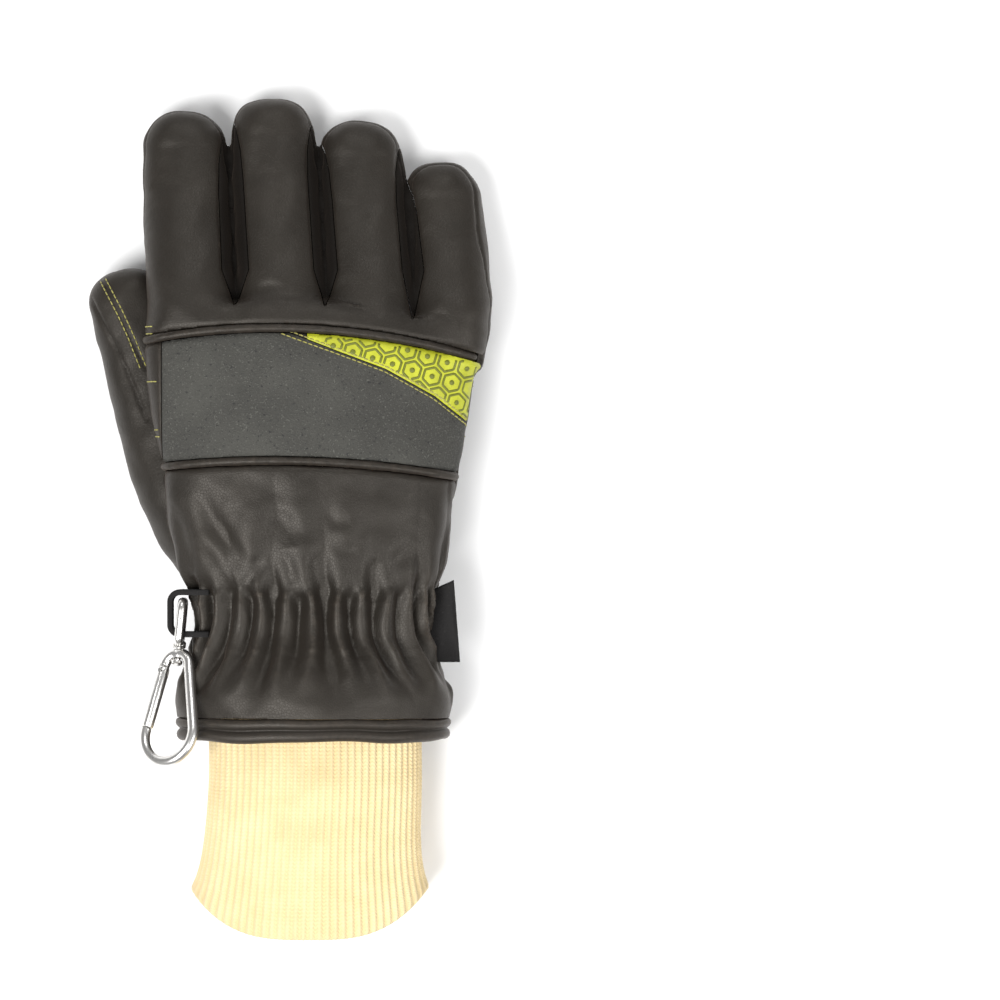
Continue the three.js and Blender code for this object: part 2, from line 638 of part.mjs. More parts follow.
const knitWrist = knitLoft(knitStations, 2 * knitRibs, 0, true).subtract(
  knitLoft([1.1, ...knitStations, knitTop - 0.1], 32, -knitWall, false),
);

// Suede strip under the knit: place along it from the hem, and its edges as shares
const guardSections = [
  { y: guardTuck, left: -0.4, right: 0.48 },
  { y: 0, left: -0.4, right: 0.49 },
  { y: -guardTuck, left: -0.38, right: 0.48 },
  { y: -knitLength - guardProud, left: -0.15, right: 0.385 },
];
const wristGuard = loft(
  guardSections.map(({ y, left, right }) => {
    const low = lipLift(y);
    const high = low + guardThickness;
    return [[left, low], [right, low], [right, high], [left, high]].map(
      ([x, z]) => new THREE.Vector3(x * halfWidth, y, z),
    );
  }),
);

// How far out the side of the body lies at a station and height, on the left, -1, or the right, 1
function sideOfBody(at, height, side) {
  const left = columnAt(bodySections, "left", at) * halfWidth;
  const right = columnAt(bodySections, "right", at) * halfWidth;
  const middle = columnAt(bodySections, "middle", at) * bodyThickness;
  const high = columnAt(bodySections, "half", at) * bodyThickness;
  const crown = columnAt(bodySections, "crown", at);
  const share = (1 - Math.min(Math.abs(height - middle) / high, 1) ** crown) ** (1 / crown);
  return (left + right) / 2 + (side * share * (right - left)) / 2;
}

// The hook hangs beside the shoulder of the gauntlet, and the strap reaches out to its eye
const neckX = sideOfBody(flareShare, strapHeight, -1) - neckOut;
const strapReach = -neckX + eyeWireRadius + strapPlay + strapThickness;

// Strap: a stiff webbing loop that leaves the side seam and returns to it
function strapOutline(inset) {
  const low = strapRoot - strapSpread / 2 - strapThickness / 2 + inset;
  const high = strapRoot + strapSpread / 2 + strapThickness / 2 - inset;
  const out = -strapReach + inset;
  const bend = strapTurn - inset;
  const shape = new THREE.Shape();
  shape.moveTo(-rootShare * halfWidth, low);
  shape.lineTo(out + bend, low);
  shape.quadraticCurveTo(out, low, out, low + bend);
  shape.lineTo(out, high - bend);
  shape.quadraticCurveTo(out, high, out + bend, high);
  shape.lineTo(-rootShare * halfWidth, high);
  return shape;
}
const strapSlab = (inset, depth) =>
  solidOf(
    new THREE.ExtrudeGeometry(strapOutline(inset), { depth, curveSegments: 5, bevelEnabled: false })
      .translate(0, 0, strapHeight - depth / 2),
  );
const hangingStrap = strapSlab(0, strapWidth)
  .subtract(strapSlab(strapThickness, 2 * strapWidth))
  .subtract(bodyGrown);

// Swivel eye, in its own frame: the hook's axis along Y, its neck at the origin
const eyeHalf = strapWidth / 2 + eyeClearance + eyeWireRadius;
const eyeBarY = swivelGap + swivelBlockLength;
const eyeRing = hoopWire(
  [
    [eyeBarY, eyeHalf],
    [eyeBarY + eyeLength, eyeHalf],
    [eyeBarY + eyeLength, -eyeHalf],
    [eyeBarY, -eyeHalf],
  ],
  eyeTurn,
  eyeWireRadius,
);
function cylinderAt(radius, from, to, sides) {
  const geometry = new THREE.CylinderGeometry(radius, radius, to - from, sides);
  return solidOf(geometry.translate(0, (from + to) / 2, 0));
}
const barThickness = 2 * hookWireRadius;
const knobTop = -barThickness - hookBarDip - swivelGap;
const knobEnd = knobTop - swivelKnobLength;
const shankFrom = (knobTop + knobEnd) / 2;
const shankTo = swivelGap + swivelBlockLength / 2;
const swivelEye = eyeRing
  .add(cylinderAt(swivelBlockRadius, swivelGap, eyeBarY + swivelBlockSeat, 20))
  .add(cylinderAt(swivelShankRadius, shankFrom, shankTo, 12))
  .add(cylinderAt(swivelKnobRadius, knobEnd, knobTop, 20));

// A wire bent round the corners [y, z] of a closed outline in the plane of the eye
function hoopWire(corners, turn, radius) {
  const path = [];
  corners.forEach(([y, z], i) => {
    const [py, pz] = corners[(i + corners.length - 1) % corners.length];
    const [ny, nz] = corners[(i + 1) % corners.length];
    const corner = new THREE.Vector3(0, y, z);
    const before = new THREE.Vector3(0, py, pz).sub(corner).setLength(turn).add(corner);
    const after = new THREE.Vector3(0, ny, nz).sub(corner).setLength(turn).add(corner);
    path.push(...new THREE.QuadraticBezierCurve3(before, corner, after).getPoints(3));
  });
  const level = new THREE.Matrix4().makeRotationX(degToRad(hookPitch));
  return ringWire(path.map((p) => p.applyMatrix4(level)), radius, new THREE.Vector3(1, 0, 0), 8);
}

// A closed wire through points that lie in one plane, with the plane's normal
function ringWire(path, radius, normal, sides) {
  const count = path.length;
  return hoop(count, sides, (angle, k) => {
    const i = Math.round((angle * count) / tau);
    const along = path[(i + 1) % count].clone().sub(path[(i + count - 1) % count]).normalize();
    const side = new THREE.Vector3().crossVectors(normal, along);
    const turn = (tau * k) / sides;
    return path[i]
      .clone()
      .addScaledVector(normal, radius * Math.cos(turn))
      .addScaledVector(side, radius * Math.sin(turn));
  });
}

// Hook: a pear-shaped wire whose outer leg is the gate, neck at the origin, window towards -Y
const barY = -hookWireRadius;
const endY = barY - hookWindowLength + hookEndRadius;
const neckTurnY = barY - hookNeckRadius;
const legTilt = Math.asin((hookEndRadius - hookNeckRadius) / (neckTurnY - endY));
function pearPath() {
  const path = [];
  const neckPoint = (side, a) =>
    new THREE.Vector3(side * hookNeckRadius * Math.cos(a), neckTurnY + hookNeckRadius * Math.sin(a), 0);
  for (const a of rangeOf(10, -legTilt, Math.PI + legTilt))
    path.push(new THREE.Vector3(hookEndRadius * Math.cos(a), endY - hookEndRadius * Math.sin(a), 0));
  for (const a of rangeOf(4, legTilt, Math.PI / 2 - hookBarTurn))
    path.push(neckPoint(-1, a));
  path.push(new THREE.Vector3(0, barY - hookBarDip, 0));
  for (const a of rangeOf(4, Math.PI / 2 - hookBarTurn, legTilt))
    path.push(neckPoint(1, a));
  return path;
}

// The gate lies along the outer leg, in a frame of its own: pin at the origin, free end towards -Y
const pinAt = new THREE.Vector3(-hookNeckRadius - gatePinOut, neckTurnY - gatePinBack, 0);
const gateLength = (neckTurnY - endY) * gateRatio;
const gateAt = (degrees) =>
  new THREE.Matrix4().makeRotationZ(degToRad(degrees) - legTilt).setPosition(pinAt);
const gateTurn = gateAt(0);
const gateHalf = hookWireRadius + gateProud;
const slab = (outline, half, opened = 0) => {
  const shape = new THREE.Shape(outline.map(([x, y]) => new THREE.Vector2(x, y)));
  const geometry = new THREE.ExtrudeGeometry(shape, { depth: 2 * half, bevelEnabled: false });
  return solidOf(geometry.translate(0, 0, -half), gateAt(opened));
};
const stadium = (grow) => [
  ...rangeOf(8, 0, Math.PI).map((a) => [
    (gateHalf + grow) * Math.cos(a),
    (gateHalf + grow) * Math.sin(a),
  ]),
  [-gateHalf - grow, -gateLength - grow],
  [gateHalf + grow, -gateLength - grow],
];
const boxOutline = (x0, y0, x1, y1) => [[x0, y0], [x1, y0], [x1, y1], [x0, y1]];
const cheekInner = tongueThickness / 2 + hookClearance;
const gateChannel = slab(
  boxOutline(-3 * gateHalf, -2 * gateLength, gateHalf - gateWeb, 3 * gateHalf),
  cheekInner,
);
const gateMouth = slab(boxOutline(-3 * gateHalf, -gateFoot, 3 * gateHalf, 3 * gateHalf), cheekInner);
const pinHole = (radius) =>
  solidOf(
    new THREE.CylinderGeometry(radius, radius, 4 * gateWidth, 16).rotateX(Math.PI / 2),
    gateTurn,
  );
const hookGate = slab(stadium(0), gateWidth / 2)
  .subtract(gateChannel)
  .subtract(gateMouth)
  .subtract(pinHole(gatePinRadius + hookClearance));

// Room that the gate takes out of the wire, shut and as it opens: a tongue is left at each end of it
const sweep = rangeOf(4, 0, gateOpening);
const gateMiddle = slab(
  boxOutline(-3 * gateHalf, -gateLength + tongueLength, 3 * gateHalf, -pinTongueLength),
  gateWidth,
);
const webInner = gateHalf - gateWeb - hookClearance;
const webRoom = join(
  sweep.map((opened) =>
    slab(
      boxOutline(webInner, -gateLength - hookClearance, 3 * gateHalf, -gateFoot + hookClearance),
      gateWidth,
      opened,
    ),
  ),
);
const tongueSlab = slab(
  boxOutline(-4 * gateHalf, -2 * gateLength, 4 * gateHalf, 4 * gateHalf),
  tongueThickness / 2,
);
const cheekRoom = join(sweep.map((opened) => slab(stadium(hookClearance), gateWidth, opened))).subtract(
  tongueSlab,
);
const hookFrame = ringWire(pearPath(), hookWireRadius, new THREE.Vector3(0, 0, 1), 12)
  .subtract(gateMiddle)
  .subtract(webRoom)
  .subtract(cheekRoom)
  .subtract(pinHole(gatePinRadius + hookClearance))
  .subtract(cylinderAt(swivelShankRadius + swivelGap, -3 * barThickness, barThickness, 16));
const pinLength = gateWidth + 2 * gatePinProud;
const gatePin = solidOf(
  new THREE.CylinderGeometry(gatePinRadius, gatePinRadius, pinLength, 16).rotateX(Math.PI / 2),
  gateTurn,
);

// Label: a flat cloth tab that leaves the side seam
const labelReach = sideOfBody((labelStart + labelLength / 2) / bodyLength, seamHeight, 1) + labelProud;
const sideLabel = prism(
  [
    [rootShare * halfWidth, labelStart],
    [labelReach, labelStart],
    [labelReach - labelSlant, labelStart + labelLength],
    [rootShare * halfWidth, labelStart + labelLength - labelRise],
  ],
  seamHeight - labelThickness / 2,
  seamHeight + labelThickness / 2,
).subtract(bodyGrown);

// Scene graph: each piece in its own colour, shine and metalness
const leather = { color: "#3d3934", roughness: 0.62, metalness: 0 };
const band = { color: "#4e4e4b", roughness: 0.85, metalness: 0 };
const wedgeCloth = { color: "#bcc81e", roughness: 0.6, metalness: 0 };
const knit = { color: "#f2e2a0", roughness: 0.95, metalness: 0 };
const suede = { color: "#1b1613", roughness: 0.95, metalness: 0 };
const webbing = { color: "#151413", roughness: 0.9, metalness: 0 };
const steel = { color: "#c9c9c6", roughness: 0.25, metalness: 1 };

const glove = new THREE.Group();
function place(group, name, solid, look) {
  const mesh = new THREE.Mesh(geometryOf(solid), new THREE.MeshStandardMaterial(look));
  mesh.name = name;
  group.add(mesh);
}
fingers.forEach(({ name }, i) => {
  place(glove, `back_${name}`, fingerBacks.intersect(fingerZone(i)), leather);
  place(glove, `front_${name}`, fingerFronts.intersect(fingerZone(i)), leather);
});
place(glove, "strip_index_middle", stripOf(0), leather);
place(glove, "strip_middle_ring", stripOf(1), leather);
place(glove, "strip_ring_little", stripOf(2), leather);
place(glove, "thumb", thumb, leather);
place(glove, "knuckle_band", knuckleBand, band);
place(glove, "bright_wedge", brightWedge, wedgeCloth);
place(glove, "upper_welt", welt(upperWeltShare), leather);
place(glove, "lower_welt", welt(lowerWeltShare), leather);
place(glove, "palm_patch", palmPatch, leather);
place(glove, "heel_thumb_side", heelThumbSide, leather);
place(glove, "heel_little_side", heelLittleSide, leather);
place(glove, "gauntlet_back", gauntletBack, leather);
place(glove, "hem", hem, leather);
place(glove, "knit_wrist", knitWrist, knit);
place(glove, "wrist_guard", wristGuard, suede);
place(glove, "hanging_strap", hangingStrap, webbing);
place(glove, "side_label", sideLabel, webbing);

const swivel = new THREE.Group();
swivel.position.set(neckX, neckY, strapHeight);
swivel.rotation.set(-degToRad(hookPitch), 0, -degToRad(hookPlan), "ZXY");
place(swivel, "swivel_eye", swivelEye, steel);
const hook = new THREE.Group();
hook.rotation.y = -degToRad(hookRoll);
place(hook, "hook_frame", hookFrame, steel);
place(hook, "hook_gate", hookGate, steel);
place(hook, "gate_pin", gatePin, steel);
swivel.add(hook);
glove.add(swivel);

function geometryOf(solid) {
  const { vertProperties, triVerts, numProp, numVert } = solid.getMesh();
  const positions = new Float32Array(numVert * 3);
  for (let i = 0; i < numVert; i++)
    positions.set(vertProperties.subarray(i * numProp, i * numProp + 3), 3 * i);
  const geometry = new THREE.BufferGeometry();
  geometry.setAttribute("position", new THREE.BufferAttribute(positions, 3));
  geometry.setIndex(new THREE.BufferAttribute(new Uint32Array(triVerts), 1));
  geometry.computeVertexNormals();
  return geometry;
}

// Origin on the surface, under the middle of the glove's box
glove.updateMatrixWorld(true);
const box = new THREE.Box3().setFromObject(glove, true);
const middle = box.getCenter(new THREE.Vector3());
const part = new THREE.Group();
glove.position.set(-middle.x, -middle.y, -box.min.z);
part.add(glove);
export default part;
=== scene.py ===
import json
import math
import bpy
import bmesh
import numpy as np
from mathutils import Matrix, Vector
from mathutils.bvhtree import BVHTree


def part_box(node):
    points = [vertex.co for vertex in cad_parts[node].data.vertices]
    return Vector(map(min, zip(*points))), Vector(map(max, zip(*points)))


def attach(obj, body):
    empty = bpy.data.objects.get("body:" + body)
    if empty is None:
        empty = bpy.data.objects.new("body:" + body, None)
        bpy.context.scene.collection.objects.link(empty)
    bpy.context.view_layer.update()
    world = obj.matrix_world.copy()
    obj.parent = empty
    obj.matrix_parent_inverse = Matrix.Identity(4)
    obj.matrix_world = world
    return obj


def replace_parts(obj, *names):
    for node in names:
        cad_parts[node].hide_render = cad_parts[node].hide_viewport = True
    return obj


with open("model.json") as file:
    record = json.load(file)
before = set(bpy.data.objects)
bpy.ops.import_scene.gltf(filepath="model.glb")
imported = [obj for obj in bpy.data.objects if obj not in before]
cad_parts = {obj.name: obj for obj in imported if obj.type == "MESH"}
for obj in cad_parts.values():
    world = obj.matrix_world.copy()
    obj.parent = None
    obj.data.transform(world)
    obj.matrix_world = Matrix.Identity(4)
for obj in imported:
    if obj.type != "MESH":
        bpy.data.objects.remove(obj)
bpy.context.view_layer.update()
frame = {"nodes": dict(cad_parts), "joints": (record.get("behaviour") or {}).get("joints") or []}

# The glove's own frame
# Millimetres are turned into the frame's metres: X across the hand from the middle, Y from the
# hem towards the fingertips, Z up. The strip under the knit wrist, at known shares, gives the shift.
HALF_WIDTH = 69.5
BODY_LENGTH = 176.0
BODY_THICKNESS = 44.0
KNIT_LENGTH = 78.0
GUARD_PROUD = 2.0
GUARD_LEFT = -0.4
strip_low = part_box("wrist_guard")[0]
SHIFT = np.array([strip_low[0] * 1000 - GUARD_LEFT * HALF_WIDTH,
                  strip_low[1] * 1000 + KNIT_LENGTH + GUARD_PROUD, 0.0])


def to_frame(points):
    return (np.asarray(points, dtype=float) + SHIFT) / 1000


def object_from(name, points, faces, smooth=True):
    mesh = bpy.data.meshes.new(name)
    mesh.from_pydata(to_frame(points).tolist(), [], [[int(i) for i in f] for f in faces])
    mesh.update()
    if smooth:
        mesh.shade_smooth()
    made = bpy.data.objects.new(name, mesh)
    bpy.context.scene.collection.objects.link(made)
    return made


def face_out(piece, triangles=False):
    bm = bmesh.new()
    bm.from_mesh(piece.data)
    if triangles:
        bmesh.ops.triangulate(bm, faces=bm.faces)
    bmesh.ops.recalc_face_normals(bm, faces=bm.faces)
    bm.to_mesh(piece.data)
    bm.free()
    return piece


# Leather hand, the form
# Four fingers and a set-in thumb on an oval hand that narrows to a gather and flares to the hem.
# Leather over membrane and lining makes it plump, so every section is a soft oval.
SECTIONS = {
    "at": [0, 0.05, 0.1, 0.145, 0.193, 0.24, 0.29, 0.341, 0.392, 0.483, 0.568, 0.634, 0.739, 0.852, 0.934, 1],
    "left": [-0.8, -0.816, -0.829, -0.8, -0.725, -0.685, -0.685, -0.734, -0.806, -0.863, -0.882, -0.892,
             -0.95, -0.986, -1, -1],
    "right": [0.735, 0.752, 0.771, 0.745, 0.672, 0.62, 0.627, 0.673, 0.719, 0.757, 0.766, 0.805,
              0.842, 0.885, 0.93, 0.97],
    "middle": [0.63, 0.63, 0.64, 0.64, 0.62, 0.605, 0.605, 0.62, 0.65, 0.68, 0.7, 0.71, 0.72, 0.72,
               0.7, 0.68],
    "half": [0.715, 0.73, 0.72, 0.68, 0.585, 0.535, 0.53, 0.54, 0.55, 0.545, 0.53, 0.515, 0.49, 0.455,
             0.42, 0.385],
    "roll": [0, 0, 0, 0, 0, 0, 0.05, 0.15, 0.3, 0.5, 0.7, 0.85, 1, 1, 1, 1],
    "crown": [2.1, 2.1, 2.1, 2.15, 2.3, 2.4, 2.5, 2.5, 2.5, 2.5, 2.5, 2.5, 2.5, 2.5, 2.5, 2.5],
    "belly": [4, 4, 3.8, 3.2, 2.6, 2.4, 2.5, 2.5, 2.5, 2.5, 2.5, 2.5, 2.5, 2.5, 2.5, 2.5],
}
HAND_ROLL = 4.0
KNUCKLE_DROP = 12.0
FINGER_LENGTH = 82.0
FINGERS = [
    {"root": -0.737, "tip": -0.79, "reach": 0.937, "width": 1.0},
    {"root": -0.21, "tip": -0.285, "reach": 1.0, "width": 1.006},
    {"root": 0.299, "tip": 0.225, "reach": 0.89, "width": 1.0},
    {"root": 0.771, "tip": 0.703, "reach": 0.688, "width": 0.9},
]
FINGER_WIDTH = 34.0
FINGER_THICKNESS = 31.0
FINGER_ROOT = 0.84
FINGER_ROUNDNESS = 2.3
FINGERTIP_HEIGHT = 13.4
FINGERTIP_LENGTH = 15.0
FINGER_PROFILE = {
    "at": [0, 0.15, 0.3, 0.55, 0.8, 1],
    "width": [0.82, 0.96, 1.03, 1.035, 1.04, 0.99],
    "thickness": [0.8, 0.96, 1.06, 1, 0.92, 0.87],
    "fall": [0, 0.03, 0.12, 0.45, 0.82, 1],
}
THUMB = {
    "x": [-0.3, -0.55, -0.77, -0.93, -1.03, -1.12],
    "y": [0.36, 0.5, 0.64, 0.77, 0.89, 1.0],
    "z": [0.5, 0.46, 0.38, 0.325, 0.305, 0.295],
    "width": [1.35, 1.6, 1.42, 1.12, 1.0, 0.92],
    "thickness": [1.05, 1.25, 1.2, 1.06, 1.0, 0.94],
}
THUMB_WIDTH = 34.0
THUMB_THICKNESS = 28.0
THUMB_TIP = 13.0


def smooth_column(places, values, at):
    """Cubic curve through a column of values, read at many places."""
    places = np.asarray(places, dtype=float)
    values = np.asarray(values, dtype=float)
    at = np.clip(np.asarray(at, dtype=float), places[0], places[-1])
    last = len(places) - 1
    low = np.maximum(np.arange(last + 1) - 1, 0)
    high = np.minimum(np.arange(last + 1) + 1, last)
    slope = (values[high] - values[low]) / (places[high] - places[low])
    i = np.clip(np.searchsorted(places, at, side="right") - 1, 0, last - 1)
    span = places[i + 1] - places[i]
    u = (at - places[i]) / span
    rise = u * u * (3 - 2 * u)
    lead = u * (1 - u) ** 2 * slope[i] - u * u * (1 - u) * slope[i + 1]
    return values[i] * (1 - rise) + values[i + 1] * rise + span * lead


def section(key, at):
    return smooth_column(SECTIONS["at"], SECTIONS[key], at)


def oval(angle, wide, high, roundness):
    c, s = np.cos(angle), np.sin(angle)
    power = 2 / roundness
    return wide * np.sign(c) * np.abs(c) ** power, high * np.sign(s) * np.abs(s) ** power


def line_across(at, x):
    return at * BODY_LENGTH - np.maximum(at, 0) * KNUCKLE_DROP * ((x / HALF_WIDTH + 0.25) / 1.15) ** 2


def middle_height(at, x):
    return section("middle", at) * BODY_THICKNESS - section("roll", at) * HAND_ROLL * x / HALF_WIDTH


def body_point(at, angle, grow):
    left = section("left", at) * HALF_WIDTH
    right = section("right", at) * HALF_WIDTH
    high = section("half", at) * BODY_THICKNESS
    rounding = np.where(np.sin(angle) > 0, section("crown", at), section("belly", at))
    dx, dz = oval(angle, (right - left) / 2 + grow, high + grow, rounding)
    x = (left + right) / 2 + dx
    return np.stack([x, line_across(at, x), middle_height(at, x) + dz], axis=-1)


def loft(name, rings):
    """Closed solid over rows of rings, its ends closed halfway between top and bottom."""
    rows, sides = rings.shape[:2]
    ends = [(ring[sides // 4] + ring[3 * sides // 4]) / 2 for ring in (rings[0], rings[-1])]
    points = np.concatenate([rings.reshape(-1, 3), ends])
    grid = np.arange(rows * sides).reshape(rows, sides)
    around = np.roll(grid, -1, axis=1)
    faces = np.stack([grid[:-1], around[:-1], around[1:], grid[1:]], axis=-1).reshape(-1, 4).tolist()
    first = rows * sides
    faces += [[first, b, a] for a, b in zip(grid[0], around[0])]
    faces += [[first + 1, a, b] for a, b in zip(grid[-1], around[-1])]
    return face_out(object_from(name, points, faces))


def body_solid(name, grow, stations, sides):
    angle = np.linspace(0, 2 * np.pi, sides, endpoint=False)
    rings = np.stack([body_point(np.full(sides, at), angle, grow) for at in stations])
    rings[..., 2] = np.maximum(rings[..., 2], -min(grow, 0))
    return loft(name, rings)


def finger_solid(name, finger, grow, sides, rows):
    root_y = FINGER_ROOT * BODY_LENGTH - grow
    root_x, tip_x = finger["root"] * HALF_WIDTH, finger["tip"] * HALF_WIDTH
    tip_y = BODY_LENGTH + finger["reach"] * FINGER_LENGTH + grow
    cap = FINGERTIP_LENGTH + grow
    cap_y = tip_y - cap
    turn = np.linspace(0, np.radians(84), rows // 3)[1:]
    y = np.concatenate([np.linspace(root_y, cap_y, rows), cap_y + cap * np.sin(turn)])
    shrink = np.concatenate([np.ones(rows), np.cos(turn) ** 0.75])
    at = (y - root_y) / (cap_y - root_y)
    row = {k: smooth_column(FINGER_PROFILE["at"], FINGER_PROFILE[k], at)[:, None] for k in FINGER_PROFILE}
    wide = (row["width"] * finger["width"] * FINGER_WIDTH / 2 + grow) * shrink[:, None]
    high = (row["thickness"] * FINGER_THICKNESS / 2 + grow) * shrink[:, None]
    slant = np.maximum((y - BODY_LENGTH) / (finger["reach"] * FINGER_LENGTH), 0)[:, None]
    angle = np.linspace(0, 2 * np.pi, sides, endpoint=False)[None, :]
    dx, dz = oval(angle, wide, high, FINGER_ROUNDNESS)
    root_z = middle_height(np.ones(1), np.full(1, root_x))[0]
    z = root_z * (1 - row["fall"]) + FINGERTIP_HEIGHT * row["fall"] + dz
    x = root_x + (tip_x - root_x) * slant + dx
    rings = np.stack([x, np.broadcast_to(y[:, None], x.shape), np.maximum(z, -min(grow, 0))], axis=-1)
    return loft(name, rings)


def catmull(points, count):
    """Smooth curve through points, evenly in their own parameter."""
    points = np.asarray(points, dtype=float)
    step = np.sqrt(np.linalg.norm(np.diff(points, axis=0), axis=1))
    knots = np.concatenate([[0], np.cumsum(step)])
    at = np.linspace(0, len(points) - 1, count)
    knot_at = np.interp(at, np.arange(len(points)), knots)
    return np.stack([smooth_column(knots, points[:, k], knot_at) for k in range(points.shape[1])], axis=-1)


def thumb_solid(name, grow, sides, rows):
    base = np.stack([np.array(THUMB["x"]) * HALF_WIDTH, np.array(THUMB["y"]) * BODY_LENGTH,
                     np.array(THUMB["z"]) * BODY_THICKNESS, THUMB["width"], THUMB["thickness"]], axis=-1)
    spine = catmull(base, rows)
    ahead = spine[-1, :2] - spine[-2, :2]
    ahead = ahead / np.linalg.norm(ahead)
    turn = np.linspace(0, np.radians(84), rows // 4)[1:]
    cap = np.repeat(spine[-1:], len(turn), axis=0)
    cap[:, :2] += np.outer((THUMB_TIP + grow) * np.sin(turn), ahead)
    path = np.concatenate([spine, cap])
    shrink = np.concatenate([np.ones(rows), np.cos(turn) ** 0.8])[:, None]
    along = np.gradient(spine[:, :2], axis=0)
    along = along / np.linalg.norm(along, axis=1, keepdims=True)
    along = np.concatenate([along, np.repeat(ahead[None], len(turn), axis=0)])
    wide = (path[:, 3:4] * THUMB_WIDTH / 2 + grow) * shrink
    high = (path[:, 4:5] * THUMB_THICKNESS / 2 + grow) * shrink
    angle = np.linspace(0, 2 * np.pi, sides, endpoint=False)[None, :]
    dx, dz = oval(angle, wide, high, FINGER_ROUNDNESS)
    x = path[:, :1] + along[:, 1:2] * dx
    y = path[:, 1:2] - along[:, :1] * dx
    return loft(name, np.stack([x, y, np.maximum(path[:, 2:3] + dz, -min(grow, 0))], axis=-1))


def combine(first, second, how):
    """Joins, cuts or crosses the first solid with the second, by Blender's Boolean."""
    change = first.modifiers.new("change", "BOOLEAN")
    change.operation = how
    change.solver = "MANIFOLD"
    change.object = second
    bake(first)
    return first


def bake(piece):
    shape = bpy.data.meshes.new_from_object(piece.evaluated_get(bpy.context.evaluated_depsgraph_get()))
    piece.modifiers.clear()
    old = piece.data
    piece.data = shape
    bpy.data.meshes.remove(old)


def drop(piece):
    mesh = piece.data
    bpy.data.objects.remove(piece)
    bpy.data.meshes.remove(mesh)


# Leather hand, its folds and seams
# The leather is pinched by the elastic of the gather, folds softly above and below it, and dips at
# every seam, where each panel is turned under and sewn.
VOXEL = 0.00085
PIXEL = 0.4
PHOTO_MIDDLE, PHOTO_HEM = 318, 740
WALL = 3.0
GAP = 0.3
SIDE_SEAM = 30.0
WELT_RADIUS = 1.6
UPPER_WELT, LOWER_WELT = 0.934, 0.634
PATCH_WRAP = 62.0
HEEL_SEAM = 1.0
HEM_LENGTH = 9.0
PATCH_TOP = [(-1.2, 0.905), (-0.87, 0.92), (-0.006, 0.96), (0.93, 0.818), (1.3, 0.76)]
PATCH_BOTTOM = [(-1.2, 0.69), (-0.35, 0.682), (0.754, 0.545), (1.3, 0.477)]
WEDGE_EDGE = [(-0.33, 0.945), (-0.16, 0.925), (0.115, 0.882), (0.394, 0.841), (0.673, 0.78), (0.86, 0.722),
              (1.3, 0.58)]
SEAM_FALL = [(0, 1), (0.96, 1), (1.13, 0.87), (1.28, 0.66), (1.6, 0.5)]
STRIP_INSET = 4.0
STRIP_END = 13.0
STRIP_FOOT = 1.5
FAR = 130.0


def photo(points):
    """Places read off the photograph, in the glove's millimetres."""
    points = np.asarray(points, dtype=float)
    return np.stack([(points[..., 0] - PHOTO_MIDDLE) * PIXEL, (PHOTO_HEM - points[..., 1]) * PIXEL], axis=-1)


def shares(points, shift=0.0):
    return [(x * HALF_WIDTH, y * BODY_LENGTH + shift) for x, y in points]


def cross_line(at, shift=0.0):
    x = np.linspace(-1.5 * HALF_WIDTH, 1.5 * HALF_WIDTH, 33)
    return list(zip(x, line_across(at, x) + shift))


def spaced(line, step, first=None):
    """Points at even steps along a line, measured over its first columns."""
    line = np.asarray(line, dtype=float)
    length = np.concatenate([[0], np.cumsum(np.linalg.norm(np.diff(line[:, :first], axis=0), axis=1))])
    count = max(int(round(length[-1] / step)), 1)
    at = np.linspace(0, length[-1], count + 1)
    return np.stack([np.interp(at, length, line[:, k]) for k in range(line.shape[1])], axis=-1)


def line_distance(xy, line):
    """Distance of each point from an open line of points, in plan."""
    best = np.full(len(xy), 1e6)
    for a, b in zip(np.asarray(line[:-1], dtype=float), np.asarray(line[1:], dtype=float)):
        along = b - a
        share = np.clip((xy - a) @ along / max(along @ along, 1e-9), 0, 1)
        best = np.minimum(best, np.linalg.norm(xy - a - share[:, None] * along, axis=1))
    return best


def crease(xy, line, depth, width):
    """Depth of a soft fold that runs out at both its ends."""
    line = spaced(catmull(line, 24), 1.0)
    far = np.full(len(xy), 1e6)
    fade = np.zeros(len(xy))
    reach = 4 * width + np.ptp(line, axis=0).max()
    near = np.flatnonzero(np.abs(xy - line.mean(axis=0)).max(axis=1) < reach)
    for i, spot in enumerate(line):
        away = np.linalg.norm(xy[near] - spot, axis=1)
        closer = away < far[near]
        far[near[closer]] = away[closer]
        fade[near[closer]] = math.sin(math.pi * (i + 0.5) / len(line)) ** 0.8
    return depth * fade * np.exp(-((far / width) ** 2))


def under_line(xy, line):
    """True where a point lies nearer the hem than a line that runs across the hand."""
    line = np.asarray(line)
    return xy[:, 1] < np.interp(xy[:, 0], line[:, 0], line[:, 1])


def ease(low, high, value):
    u = np.clip((value - low) / (high - low), 0, 1)
    return u * u * (3 - 2 * u)


def waves(p, lengths, seed):
    """Smooth unevenness of about unit height: a few sine waves across each other."""
    total = np.zeros(len(p))
    for k, length in enumerate(lengths):
        turn = seed + 2.4 * k
        way = np.array([math.cos(turn), math.sin(turn), 0.5 * math.sin(3.1 * turn)])
        side = np.array([-math.sin(turn), math.cos(turn), 0.4])
        sway = 1.7 * np.sin(p @ side * 2 * np.pi / (1.9 * length) + turn)
        total += np.sin(p @ way * 2 * np.pi / length + sway)
    return total / math.sqrt(len(lengths))


def dip(distance, width, depth):
    return -depth * (1 - np.clip(np.abs(distance) / width, 0, 1)) ** 2


